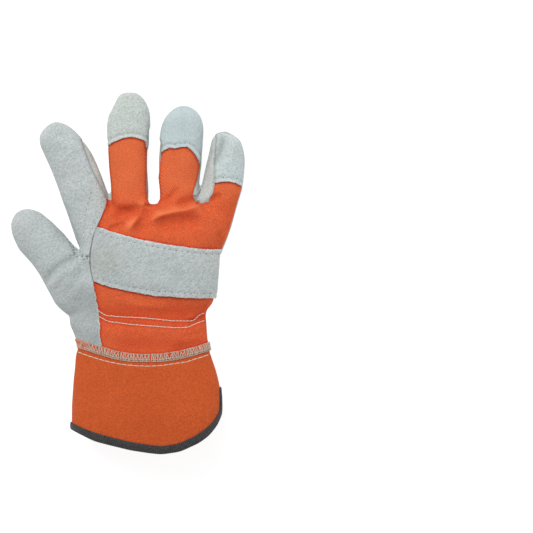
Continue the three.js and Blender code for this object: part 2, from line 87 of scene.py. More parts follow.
TIP_LINES: dict[str, Line] = {
    "middle": ((-32.2, 149.2), (-26.0, 154.3), (-22.9, 156.3), (-16.0, 159.1), (-8.5, 160.3),
               (-1.5, 159.0), (1.6, 157.4), (2.9, 156.0), (3.3, 151.6), (9.8, 151.0)),
    "ring": ((8.2, 143.2), (13.0, 148.2), (15.5, 150.3), (20.0, 152.3), (23.5, 151.6),
             (29.0, 152.8), (33.5, 153.0), (35.5, 151.9), (37.5, 149.8), (40.2, 146.5),
             (42.2, 143.0), (44.0, 138.5), (48.8, 128.2)),
    "little": ((45.8, 123.0), (53.8, 126.0), (59.0, 126.8), (64.5, 126.9), (69.8, 126.0),
               (74.6, 123.4), (81.8, 118.5)),
}
TIP_BACKS: dict[str, Line] = {
    "middle": ((9.8, 210.0), (-40.0, 210.0)),
    "ring": ((62.0, 210.0), (12.0, 210.0)),
    "little": ((110.0, 190.0), (46.0, 190.0)),
}
FORKS: dict[str, Line] = {
    "index_middle": ((-45.2, 158.0), (-43.0, 151.5), (-40.4, 144.0), (-36.7, 134.4),
                     (-31.2, 124.1), (-27.2, 116.6), (-25.9, 113.6), (-23.8, 112.9),
                     (-23.7, 120.8), (-25.0, 132.0), (-26.7, 150.8), (-27.6, 159.8),
                     (-28.6, 167.2), (-33.0, 167.2), (-35.5, 153.0)),
    "middle_ring": ((4.6, 166.0), (4.2, 153.0), (3.1, 149.0), (3.0, 135.8), (2.8, 120.8),
                    (3.4, 114.2), (6.0, 110.7), (10.4, 110.5), (12.6, 114.2), (12.4, 120.8),
                    (11.4, 130.0), (12.3, 137.2), (13.2, 145.0), (13.5, 152.0), (13.4, 156.6),
                    (11.0, 158.4), (8.0, 168.0)),
    "ring_little": ((45.4, 153.8), (44.2, 144.8), (42.8, 137.2), (40.7, 127.5), (38.5, 120.8),
                    (37.4, 116.2), (40.1, 111.8), (45.2, 110.6), (49.5, 111.9), (52.1, 117.0),
                    (53.6, 123.8), (53.6, 137.2), (54.2, 154.5), (55.1, 159.8), (49.5, 165.8),
                    (46.5, 161.2)),
}
THUMB_LINE: Line = ((-92.2, 150.8), (-62.2, 99.8), (-48.6, 71.6), (-44.2, 70.2), (-39.0, 69.4),
                    (-17.2, 66.8))
FRONT_EDGE: Line = (
    (-27.0, 218.2), (-32.2, 150.8), (-25.5, 115.5), (-24.0, 107.2), (-22.5, 99.8), (-18.0, 96.2),
    (-3.8, 95.2), (7.5, 96.5), (22.5, 94.9), (32.2, 96.1), (36.4, 100.7), (37.5, 107.2),
    (42.4, 118.5), (45.0, 150.8), (48.8, 173.2), (48.8, 218.2),
)
PATCH: Line = (
    (-25.1, 25.2), (-25.1, 5.2), (-28.2, -4.5), (-29.0, -15.0), (-28.3, -18.8), (-25.1, -20.5),
    (-15.8, -22.7), (-3.8, -24.9), (6.8, -26.5), (17.2, -27.4), (29.2, -27.5), (39.3, -26.5),
    (43.5, -24.8), (45.4, -21.8), (46.4, -15.0), (46.1, -6.8), (43.4, 3.8), (43.4, 25.2),
)
PATCH_RUN: Line = ((-22.0, -0.6), (-6.0, -2.6), (12.0, -4.2), (40.0, -5.2))
WRIST_SEAM: Line = (
    (-62.2, 10.5), (-48.8, 6.0), (-39.8, 3.3), (-30.8, 0.5), (-20.5, -2.6), (-9.8, -4.5),
    (1.4, -5.2), (15.0, -4.7), (28.5, -2.5), (39.0, 0.3), (49.5, 3.4), (62.2, 7.5),
)
WRIST_RUN: Line = (
    (-60.0, 3.5), (-49.1, -0.4), (-39.8, -3.6), (-24.1, -8.1), (-12.0, -10.2), (1.4, -11.0),
    (15.0, -10.4), (33.1, -7.9), (49.5, -2.6), (60.0, 1.0),
)
INDEX_SEAM: Line = ((-38.2, 120.8), (-41.0, 111.0), (-43.1, 102.8), (-44.0, 92.0), (-44.2, 82.5))
# Course of the dark line that paints the shade deep in the crotch of ring and little finger.
CROTCH_SHADE_LINE: Line = ((37.6, 116.6), (39.6, 115.8), (41.2, 115.9), (42.4, 119.0), (43.4, 122.0))
ELASTIC_ROWS: tuple[Line, Line] = (
    ((-33.4, 30.8), (-30.0, 28.2), (-27.0, 26.5), (-16.8, 25.8), (1.4, 24.9), (15.0, 23.5),
     (24.1, 22.6), (37.2, 22.6), (39.2, 23.9), (41.2, 26.3), (43.6, 28.2), (48.5, 28.8)),
    ((-32.8, 26.2), (-25.9, 22.4), (-12.3, 20.5), (5.9, 19.0), (24.1, 17.6), (33.9, 17.8),
     (39.4, 20.2), (43.5, 22.0), (48.5, 23.4)),
)


class Face(Enum):
    """Which side of the hand a fold is pressed into."""

    BACK = 1.0
    PALM = -1.0


@dataclass(frozen=True)
class Fold:
    """A crease pressed into the form, with an optional ridge beside it.

    Attributes:
        line: its course in plan.
        depth: how far its valley sinks.
        width: half width of the valley.
        ridge: height of the ridge beside it.
        away: distance from the valley to the ridge, positive to the left of its course.
        face: the side that it is pressed into.
    """

    line: Line
    depth: float
    width: float
    ridge: float = 0.0
    away: float = 0.0
    face: Face = Face.BACK


FOLDS: tuple[Fold, ...] = (
    Fold(((-45.0, 71.0), (-49.0, 69.8), (-55.5, 66.5), (-61.0, 63.6), (-66.0, 59.4),
          (-69.8, 54.6), (-73.0, 48.0)), 2.4, 3.4, 1.2, 6.0),
    Fold(((-46.0, 58.0), (-52.0, 50.0), (-57.0, 41.0)), 0.8, 3.2, 0.5, 5.0),
    Fold(((-54.0, 58.5), (-60.0, 53.0), (-64.0, 46.0)), 0.6, 3.0, 0.3, 5.0),
    Fold(((-25.0, 103.0), (-16.0, 102.8), (-7.0, 103.2), (6.0, 105.2)), 4.2, 3.6, 1.4, 8.4),
    Fold(((3.0, 116.0), (2.0, 111.0), (-2.8, 102.0), (-9.2, 92.0), (-12.0, 87.5)), -3.4, 3.2),
    Fold(((8.0, 107.0), (3.5, 99.5), (-1.0, 91.0), (-3.0, 86.0)), 2.5, 4.4),
    Fold(((1.0, 95.5), (8.0, 98.8), (14.6, 101.8), (24.0, 104.0), (33.0, 105.8), (40.5, 108.1),
          (48.0, 111.6)), -3.3, 2.8),
    Fold(((8.0, 91.0), (18.0, 94.0), (28.0, 95.4), (36.0, 97.4), (46.0, 100.6)), 3.5, 5.2),
    Fold(((27.5, 123.0), (22.0, 116.0), (16.0, 110.0)), 1.4, 2.6, 0.9, 4.8),
    Fold(((43.0, 116.0), (34.0, 110.5), (25.0, 107.5)), 2.0, 3.6, 0.6, 6.0),
    Fold(((-27.0, 90.2), (-20.0, 93.2), (-12.0, 96.6)), 1.3, 1.7, 0.5, 3.6),
    Fold(((57.8, 90.2), (59.0, 75.2)), 1.5, 2.2, 0.8, 4.0),
    Fold(((42.0, 108.0), (49.0, 111.5), (54.0, 114.5), (61.0, 117.0)), 1.5, 2.3, 0.8, 4.2),
    Fold(((33.2, 20.2), (40.2, 22.6), (44.2, 25.3), (49.0, 26.2)), 1.6, 2.0, 1.0, 3.5),
    Fold(((20.0, -0.5), (34.0, 3.5), (50.0, 9.0)), 1.0, 3.4, 0.7, 6.0),
    Fold(((30.0, 10.5), (40.0, 12.5), (49.0, 15.0)), 0.7, 2.6, 0.5, 4.6),
    Fold(((-18.0, 37.5), (2.0, 33.5), (22.0, 31.8)), -0.8, 3.0),
    Fold(((62.8, 164.0), (61.2, 156.0), (58.4, 147.5), (54.4, 136.0)), 3.0, 3.4, 0.9, 6.0),
    Fold(((-66.5, 162.5), (-60.0, 161.0), (-54.0, 158.0)), 1.7, 3.6, 0.4, -6.0),
    Fold(((-62.0, 142.0), (-55.0, 148.0), (-43.0, 154.0)), -0.45, 1.3, 0.2, 3.0),
    Fold(((-48.4, 73.0), (-38.3, 62.3), (-34.7, 48.8), (-33.3, 44.2)), 1.2, 1.8, 0.5, 4.0,
         Face.PALM),
    Fold(((-69.9, 38.6), (-48.4, 16.5), (-39.8, 6.4)), 0.9, 1.5, 0.0, 0.0, Face.PALM),
    Fold(((-38.3, 63.0), (-31.1, 66.8), (-16.0, 75.8)), 1.0, 2.6, 0.5, 4.0, Face.PALM),
    Fold(((9.0, 121.5), (9.8, 102.8)), 0.9, 1.0, 0.0, 0.0, Face.PALM),
)


def ease(value: np.ndarray, low: float, high: float) -> np.ndarray:
    """Goes smoothly from 0 at low to 1 at high."""
    share = np.clip((value - low) / (high - low), 0.0, 1.0)
    return share * share * (3.0 - 2.0 * share)


def near(away: np.ndarray, width: float) -> np.ndarray:
    """1 where a distance is zero, fading out over a width."""
    return np.exp(-((away / width) ** 2))


def least(*fields: np.ndarray) -> np.ndarray:
    """The smallest of several fields at each place."""
    return np.minimum.reduce(fields)


def ripple(places: np.ndarray, length: float, seed: int, waves: int = 10) -> np.ndarray:
    """Soft uneven waves of about unit strength.

    Args:
        places: points, one a row.
        length: usual distance between two crests.
        seed: picks the pattern.
        waves: how many plain waves are laid over one another.

    Returns:
        One value for each point.
    """
    draw = np.random.default_rng(seed)
    total = np.zeros(len(places))
    for _ in range(waves):
        course = draw.normal(size=places.shape[1])
        course /= np.linalg.norm(course)
        crest = length * draw.uniform(0.65, 1.5)
        total += np.sin(places @ course * (2 * math.pi / crest) + draw.uniform(0, 2 * math.pi))
    return total / math.sqrt(waves / 2)


def course_of(line: Sequence[Point], places: np.ndarray
              ) -> tuple[np.ndarray, np.ndarray, np.ndarray]:
    """Where points lie beside an open line in plan.

    Args:
        line: the line's corners.
        places: points in plan.

    Returns:
        The distance from the line, the signed distance (positive to the left of its course), and
        the place along it as a share of its length.
    """
    corners = np.array(line, float)
    steps = np.diff(corners, axis=0)
    lengths = np.linalg.norm(steps, axis=1)
    starts = np.r_[0.0, np.cumsum(lengths)]
    best = np.full(len(places), 1e9)
    side = np.zeros(len(places))
    along = np.zeros(len(places))
    for i, step in enumerate(steps):
        offset = places - corners[i]
        raw = offset @ step / lengths[i] ** 2
        share = np.clip(raw, 0, 1)
        gap = offset - share[:, None] * step
        away = np.hypot(gap[:, 0], gap[:, 1])
        turn = step[0] * offset[:, 1] - step[1] * offset[:, 0]
        closer = away < best
        best = np.where(closer, away, best)
        side = np.where(closer, np.sign(turn) * away, side)
        along = np.where(closer, starts[i] + share * lengths[i], along)
    return best, side, along / starts[-1]


def depth_in(outline: Sequence[Point], places: np.ndarray) -> np.ndarray:
    """Distance from a closed outline in plan, positive inside.

    Args:
        outline: the outline's corners.
        places: points in plan.

    Returns:
        One signed distance for each point.
    """
    closed = [*outline, outline[0]]
    away = course_of(closed, places)[0]
    inside = np.zeros(len(places), bool)
    x, y = places[:, 0], places[:, 1]
    for (x0, y0), (x1, y1) in zip(closed, closed[1:]):
        if y0 == y1:
            continue
        crosses = (y0 > y) != (y1 > y)
        inside ^= crosses & (x < x0 + (y - y0) * (x1 - x0) / (y1 - y0))
    return np.where(inside, away, -away)


def height_on(line: Sequence[Point], x: np.ndarray) -> np.ndarray:
    """Y of a line that runs from left to right, at each x."""
    corners = np.array(line, float)
    return np.interp(x, corners[:, 0], corners[:, 1])


def runs_of(track: np.ndarray) -> np.ndarray:
    """Length from the start of a course to each of its points."""
    return np.r_[0.0, np.cumsum(np.linalg.norm(np.diff(track, axis=0), axis=1))]


def read_at(wanted: np.ndarray, runs: np.ndarray, track: np.ndarray) -> np.ndarray:
    """Points of a course at the wanted lengths along it."""
    return np.stack([np.interp(wanted, runs, column) for column in track.T], 1)


def smoothed(track: np.ndarray, rounds: int, closed: bool = False) -> np.ndarray:
    """A course whose points are drawn towards their two neighbours.

    Args:
        track: its points.
        rounds: how often they are drawn.
        closed: True where its ends meet. Otherwise the ends stay.

    Returns:
        The new points.
    """
    track = track.copy()
    for _ in range(rounds):
        if closed:
            track = (np.roll(track, 1, axis=0) + 2 * track + np.roll(track, -1, axis=0)) / 4
        else:
            track[1:-1] = (track[:-2] + 2 * track[1:-1] + track[2:]) / 4
    return track


def unit(rows: np.ndarray) -> np.ndarray:
    """Directions brought to length one, one a row."""
    return rows / np.maximum(np.linalg.norm(rows, axis=-1, keepdims=True), 1e-12)


def evened(line: Sequence[Point], pitch: float) -> np.ndarray:
    """Points spread evenly along a line, rounded a little at its corners.

    Args:
        line: the line's corners.
        pitch: distance between two points.

    Returns:
        The points, one a row.
    """
    corners = np.array(line, float)
    starts = runs_of(corners)
    count = max(int(round(starts[-1] / 0.5)), 4)
    track = smoothed(read_at(np.linspace(0, starts[-1], count + 1), starts, corners), 12)
    runs = runs_of(track)
    wanted = np.linspace(0, runs[-1], max(int(round(runs[-1] / pitch)), 1) + 1)
    return read_at(wanted, runs, track)


# --- Meshes ---


def point_normals(points: np.ndarray, faces: np.ndarray) -> np.ndarray:
    """Outward direction at every point of a triangle mesh.

    Args:
        points: the mesh's points.
        faces: its triangles.

    Returns:
        One direction for each point.
    """
    a, b, c = (points[faces[:, k]] for k in range(3))
    flat = np.cross(b - a, c - a)
    total = np.zeros_like(points)
    for axis in range(3):
        for k in range(3):
            total[:, axis] += np.bincount(faces[:, k], flat[:, axis], len(points))
    return unit(total)


def edges_of(faces: np.ndarray) -> np.ndarray:
    """The three edges of every triangle, each in its triangle's order."""
    return np.vstack([faces[:, [0, 1]], faces[:, [1, 2]], faces[:, [2, 0]]])


def joined(parts: Iterable[tuple[np.ndarray, np.ndarray]]) -> tuple[np.ndarray, np.ndarray]:
    """Several meshes as one.

    Args:
        parts: points and triangles of each.

    Returns:
        Points and triangles of all.
    """
    points, faces, count = [], [], 0
    for part_points, part_faces in parts:
        points.append(part_points)
        faces.append(part_faces + count)
        count += len(part_points)
    return np.vstack(points), np.vstack(faces)


def relaxed(points: np.ndarray, faces: np.ndarray, rounds: int, share: float = 0.5) -> np.ndarray:
    """Points of a triangle mesh, each drawn towards the mean of its neighbours.

    Args:
        points: the mesh's points.
        faces: its triangles.
        rounds: how often they are drawn.
        share: how far each time.

    Returns:
        The new points.
    """
    ends = edges_of(faces)
    degree = np.bincount(ends[:, 0], minlength=len(points)).astype(float)
    points = points.copy()
    for _ in range(rounds):
        mean = np.stack([np.bincount(ends[:, 0], points[ends[:, 1], k], len(points))
                         for k in range(3)], 1)
        points += share * (mean / np.maximum(degree, 1)[:, None] - points)
    return points


@dataclass
class Skin:
    """An open or closed sheet of triangles with the direction of its outside.

    Attributes:
        points: its points, in millimetres of the pattern.
        faces: its triangles.
        normals: outward direction at each point.
        lift: how far each point stands off the form.
        tone: painted light and shade at each point, from -1 darkest to 1 palest: painted shade in
            seams, folds, crotches and gaps, painted highlights, and paler raw edges.
    """

    points: np.ndarray
    faces: np.ndarray
    normals: np.ndarray
    lift: np.ndarray
    tone: np.ndarray

    def cut(self, keep: np.ndarray, lift: np.ndarray, tone: np.ndarray) -> "Skin":
        """Cuts the sheet along the places where a field is zero.

        Args:
            keep: one value for each point, positive where the sheet stays.
            lift: the new lift.
            tone: the new tone.

        Returns:
            The part that stays.
        """
        keep = np.where(np.abs(keep) < 0.12, 0.0, keep)
        data = np.column_stack([self.points, self.normals, lift, tone])
        inside = keep >= 0
        count = inside[self.faces].sum(1)
        whole = self.faces[count == 3]
        one, two = self.faces[count == 1], self.faces[count == 2]

        def turned(rows: np.ndarray, first: np.ndarray) -> np.ndarray:
            """Triangles with the marked corner first."""
            at = np.argmax(first[rows], 1)
            return rows[np.arange(len(rows))[:, None], (at[:, None] + np.arange(3)) % 3]

        one, two = turned(one, inside), turned(two, ~inside)
        pairs = np.vstack([one[:, [0, 1]], one[:, [0, 2]], two[:, [1, 0]], two[:, [2, 0]]])
        keys, back = np.unique(pairs, axis=0, return_inverse=True)
        back = back.reshape(-1)
        held, lost = keep[keys[:, 0]], keep[keys[:, 1]]
        share = np.where(held > 0, held / np.maximum(held - lost, 1e-9), 0.0)[:, None]
        fresh = data[keys[:, 0]] * (1 - share) + data[keys[:, 1]] * share
        number = np.where(held > 0, len(data) + np.arange(len(keys)), keys[:, 0])[back]
        n1, n2 = len(one), len(two)
        ab, ac = number[:n1], number[n1 : 2 * n1]
        ba, ca = number[2 * n1 : 2 * n1 + n2], number[2 * n1 + n2 :]
        faces = np.vstack([
            whole,
            np.column_stack([one[:, 0], ab, ac]),
            np.column_stack([two[:, 1], two[:, 2], ca]),
            np.column_stack([two[:, 1], ca, ba]),
        ])
        faces = faces[(faces != np.roll(faces, -1, axis=1)).all(1)]
        data = np.vstack([data, fresh])
        used, index = np.unique(faces, return_inverse=True)
        data = data[used]
        return Skin(data[:, :3], index.reshape(-1, 3), unit(data[:, 3:6]), data[:, 6], data[:, 7])

    def largest(self) -> "Skin":
        """The sheet without its loose scraps."""
        group = np.arange(len(self.points))
        ends = np.vstack([self.faces[:, [0, 1]], self.faces[:, [1, 2]]])
        while True:
            low = np.minimum(group[ends[:, 0]], group[ends[:, 1]])
            fresh = group.copy()
            np.minimum.at(fresh, ends[:, 0], low)
            np.minimum.at(fresh, ends[:, 1], low)
            fresh = fresh[fresh]
            if np.array_equal(fresh, group):
                break
            group = fresh
        main = np.bincount(group).argmax()
        faces = self.faces[group[self.faces[:, 0]] == main]
        used, index = np.unique(faces, return_inverse=True)
        return Skin(self.points[used], index.reshape(-1, 3), self.normals[used], self.lift[used],
                    self.tone[used])

    def rim(self) -> np.ndarray:
        """Its open edges, each in the order of its triangle."""
        ends = edges_of(self.faces)
        flat = np.sort(ends, axis=1)
        _, first, count = np.unique(flat, axis=0, return_index=True, return_counts=True)
        return ends[first[count == 1]]

    def outside(self) -> np.ndarray:
        """Points of its outer face."""
        return self.points + self.normals * self.lift[:, None]

    def walled(self, wall: float) -> tuple[np.ndarray, np.ndarray]:
        """A closed wall under the sheet.

        Args:
            wall: its thickness.

        Returns:
            Points and triangles.
        """
        outer = self.outside()
        inner = outer - self.normals * wall
        outer[:, 2] = np.maximum(outer[:, 2], 0.02)
        inner[:, 2] = np.maximum(inner[:, 2], 0.3)
        count = len(outer)
        rim = self.rim()
        a, b = rim[:, 0], rim[:, 1]
        faces = np.vstack([
            self.faces,
            self.faces[:, ::-1] + count,
            np.column_stack([b, a, a + count]),
            np.column_stack([b, a + count, b + count]),
        ])
        return np.vstack([outer, inner]), faces

    def tree(self) -> BVHTree:
        """Its outer face, ready to be hit by rays."""
        return BVHTree.FromPolygons(self.outside().tolist(), self.faces.tolist())


def plain_skin(points: np.ndarray, faces: np.ndarray,
               normals: Optional[np.ndarray] = None) -> Skin:
    """A sheet without lift or wear.

    Args:
        points: its points.
        faces: its triangles.
        normals: outward direction at each point, or None to measure it.

    Returns:
        The sheet.
    """
    if normals is None:
        normals = point_normals(points, faces)
    return Skin(points, faces, normals, np.zeros(len(points)), np.zeros(len(points)))


def tube(rings: Sequence[np.ndarray], start: Sequence[float],
         end: Sequence[float]) -> tuple[np.ndarray, np.ndarray]:
    """A closed tube through rings of equal count, brought to a point at both ends.

    Args:
        rings: the rings, in order.
        start: the first end's point.
        end: the last end's point.

    Returns:
        Points and triangles.
    """
    count = len(rings[0])
    points = np.vstack([*rings, [start], [end]])
    first, last = len(points) - 2, len(points) - 1
    a = np.arange(count)
    b = (a + 1) % count
    faces = []
    for row in range(len(rings) - 1):
        low = row * count
        faces += [np.column_stack([low + a, low + b, low + count + b]),
                  np.column_stack([low + a, low + count + b, low + count + a])]
    top = (len(rings) - 1) * count
    faces += [np.column_stack([np.full(count, first), b, a]),
              np.column_stack([np.full(count, last), top + a, top + b])]
    return points, np.vstack(faces)


def raw_object(name: str, points: np.ndarray, faces: Sequence) -> bpy.types.Object:
    """A linked mesh object.

    Args:
        name: its name.
        points: its points.
        faces: its faces, as an array or as a list where they differ in their corners.

    Returns:
        The object.
    """
    mesh = bpy.data.meshes.new(name)
    mesh.from_pydata(points.tolist(), [], faces if isinstance(faces, list) else faces.tolist())
    piece = bpy.data.objects.new(name, mesh)
    bpy.context.scene.collection.objects.link(piece)
    return piece


def select_only(piece: bpy.types.Object) -> None:
    """Selects one piece, and makes it the active one."""
    bpy.ops.object.select_all(action="DESELECT")
    bpy.context.view_layer.objects.active = piece
    piece.select_set(True)


def apply_modifiers(piece: bpy.types.Object) -> None:
    """Applies all modifiers of a piece, in order.

    Args:
        piece: the piece.
    """
    select_only(piece)
    for modifier in list(piece.modifiers):
        bpy.ops.object.modifier_apply(modifier=modifier.name)
    piece.select_set(False)


def mesh_data(piece: bpy.types.Object) -> tuple[np.ndarray, np.ndarray]:
    """Reads a mesh object.

    Args:
        piece: the object.

    Returns:
        Its points and triangles.
    """
    mesh = piece.data
    points = np.empty(len(mesh.vertices) * 3)
    mesh.vertices.foreach_get("co", points)
    mesh.calc_loop_triangles()
    faces = np.empty(len(mesh.loop_triangles) * 3, np.int64)
    mesh.loop_triangles.foreach_get("vertices", faces)
    return points.reshape(-1, 3), faces.reshape(-1, 3)


@dataclass
class Piece:
    """What a finished piece stands for and is made of."""

    name: str
    finish: bpy.types.Material
    slot: str
    replaces: tuple[str, ...] = ()


def finished(piece: Piece, points: np.ndarray, faces: Sequence, flow: Optional[np.ndarray] = None,
             tone: Optional[np.ndarray] = None, crease: float = 50.0) -> bpy.types.Object:
    """Puts a piece into the scene.

    Args:
        piece: what it stands for.
        points: its points in pattern millimetres.
        faces: its faces.
        flow: pattern coordinates for its finish, one pair a point, or None.
        tone: painted light and shade, with paler raw edges, for its finish, one value a point, or
            None.
        crease: edges sharper than this stay sharp, in degrees.

    Returns:
        The object.
    """
    made = raw_object(piece.name, (points + ROW_SHIFT) * MM, faces)
    if flow is not None:
        layer = made.data.uv_layers.new(name="flow")
        corners = np.empty(len(made.data.loops), np.int32)
        made.data.loops.foreach_get("vertex_index", corners)
        layer.data.foreach_set("uv", (flow[corners] * MM).astype(np.float32).ravel())
    if tone is not None:
        wear = made.data.attributes.new("tone", "FLOAT", "POINT")
        wear.data.foreach_set("value", tone.astype(np.float32))
    made.data.materials.append(piece.finish)
    select_only(made)
    bpy.ops.object.shade_smooth_by_angle(angle=math.radians(crease))
    made.select_set(False)
    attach(made, "root")
    if piece.replaces:
        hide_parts(*piece.replaces)
    log.info("%s: %d faces", piece.name, len(made.data.polygons))
    return made


# --- Finishes ---

Colour = tuple[float, float, float]


def shade_of(colour: Colour, *factors: float, most: float = 1.0) -> Colour:
    """A colour made darker or paler.

    Args:
        colour: the colour.
        factors: one for all its channels, or one for each.
        most: the highest that a channel may get.

    Returns:
        The new colour.
    """
    each = factors * 3 if len(factors) == 1 else factors
    return tuple(min(channel * factor, most) for channel, factor in zip(colour, each))


def put(node: bpy.types.Node, **values: object) -> None:
    """Sets sockets of a node, each named with _ for a space."""
    for key, value in values.items():
        node.inputs[key.replace("_", " ")].default_value = value


class Nodes:
    """Builds one material's node tree."""

    def __init__(self, name: str) -> None:
        """Starts a material with a lone Principled shader."""
        self.material = bpy.data.materials.new(name)
        self.material.use_nodes = True
        self.tree = self.material.node_tree
        self.shader = self.tree.nodes["Principled BSDF"]
        self.places = self.tree.nodes.new("ShaderNodeTexCoord")

    def add(self, kind: str, **values: object) -> bpy.types.Node:
        """A new node with its properties set."""
        node = self.tree.nodes.new(kind)
        for key, value in values.items():
            setattr(node, key, value)
        return node

    def feed(self, socket: bpy.types.NodeSocket, value: object) -> None:
        """Sets a socket to a value, or links it to another socket."""
        if isinstance(value, bpy.types.NodeSocket):
            self.tree.links.new(value, socket)
        else:
            socket.default_value = value

    def grain(self, scale: float, detail: float = 2.0, rough: float = 0.5, warp: float = 0.0,
              stretch: float = 1.0, turn: float = 0.0) -> bpy.types.NodeSocket:
        """Noise of about 0 to 1 over the piece.

        Args:
            scale: how fine it is, in features a metre.
            detail: octaves.
            rough: strength of the finer octaves.
            warp: distortion.
            stretch: how much longer than wide its features are.
            turn: their direction in plan, degrees from +X.

        Returns:
            The noise.
        """
        source = self.places.outputs["Object"]
        if stretch != 1.0:
            mapping = self.add("ShaderNodeMapping", vector_type="TEXTURE")
            put(mapping, Rotation=(0, 0, math.radians(turn)), Scale=(stretch, 1.0, 1.0))
            self.feed(mapping.inputs["Vector"], source)
            source = mapping.outputs["Vector"]
        noise = self.add("ShaderNodeTexNoise")
        self.feed(noise.inputs["Vector"], source)
        put(noise, Scale=scale, Detail=detail, Roughness=rough, Distortion=warp)
        return noise.outputs["Fac"]

    def tone(self) -> bpy.types.NodeSocket:
        """The piece's painted light and shade, with its paler raw edges, from -1 to 1."""
        return self.add("ShaderNodeAttribute", attribute_name="tone").outputs["Fac"]

    def ribs(self, pitch: float, turn: float, wobble: float = 0.0) -> bpy.types.NodeSocket:
        """Even ribs of 0 to 1 across the piece's own flow.

        Args:
            pitch: distance from rib to rib in metres.
            turn: their direction, radians.
            wobble: how much they stray.

        Returns:
            The ribs' height.
        """
        mapping = self.add("ShaderNodeMapping")
        put(mapping, Rotation=(0, 0, turn))
        self.feed(mapping.inputs["Vector"], self.places.outputs["UV"])
        wave = self.add("ShaderNodeTexWave", wave_type="BANDS", bands_direction="X",
                        wave_profile="SIN")
        self.feed(wave.inputs["Vector"], mapping.outputs["Vector"])
        put(wave, Scale=2 * math.pi / (20 * pitch), Distortion=wobble, Detail=1.0,
            Detail_Scale=3.0)
        return wave.outputs["Fac"]

    def times(self, a: object, b: object) -> bpy.types.NodeSocket:
        """Two values multiplied."""
        return self.math("MULTIPLY", a, b)

    def math(self, kind: str, a: object, b: object) -> bpy.types.NodeSocket:
        """One arithmetic step.

        Args:
            kind: Blender's name of the operation.
            a: its first value.
            b: its second value.

        Returns:
            The result.
        """
        node = self.add("ShaderNodeMath", operation=kind)
        for socket, value in zip(node.inputs, (a, b)):
            self.feed(socket, value)
        return node.outputs[0]

    def span(self, value: object, low: float, high: float, to_low: float = 0.0,
             to_high: float = 1.0) -> bpy.types.NodeSocket:
        """A value spread from one range to another, and kept inside it.

        Args:
            value: the value.
            low: where its range starts.
            high: where its range ends.
            to_low: what low becomes.
            to_high: what high becomes.

        Returns:
            The new value.
        """
        node = self.add("ShaderNodeMapRange")
        for socket, number in zip(node.inputs, (value, low, high, to_low, to_high)):
            self.feed(socket, number)
        return node.outputs["Result"]

    def mix(self, share: object, a: object, b: object) -> bpy.types.NodeSocket:
        """Two colours mixed.

        Args:
            share: how much of the second there is.
            a: the first.
            b: the second.

        Returns:
            The mixed colour.
        """
        node = self.add("ShaderNodeMix", data_type="RGBA")
        self.feed(node.inputs["Factor"], share)
        for label, value in (("A", a), ("B", b)):
            socket = next(s for s in node.inputs if s.name == label and s.type == "RGBA")
            self.feed(socket, (*value, 1.0) if isinstance(value, tuple) else value)
        return next(s for s in node.outputs if s.type == "RGBA")

    def bump(self, heights: Iterable[tuple[object, float]]) -> None:
        """Lays bumps over one another.

        Args:
            heights: each a height and its depth in metres.
        """
        before = None
        for height, depth in heights:
            node = self.add("ShaderNodeBump")
            put(node, Strength=1.0, Distance=depth)
            self.feed(node.inputs["Height"], height)
            if before is not None:
                self.feed(node.inputs["Normal"], before)
            before = node.outputs["Normal"]
        self.feed(self.shader.inputs["Normal"], before)

    def dress(self, colour: object, rough: float, specular: float,
              sheen: float = 0.0) -> bpy.types.Material:
        """Sets the shader's plain sockets.

        Args:
            colour: base colour.
            rough: roughness.
            specular: strength of the plain gloss.
            sheen: strength of the sheen.

        Returns:
            The material.
        """
        self.feed(self.shader.inputs["Base Color"], colour)
        put(self.shader, Roughness=rough, Sheen_Weight=sheen, Sheen_Roughness=0.6,
            Specular_IOR_Level=specular)
        return self.material


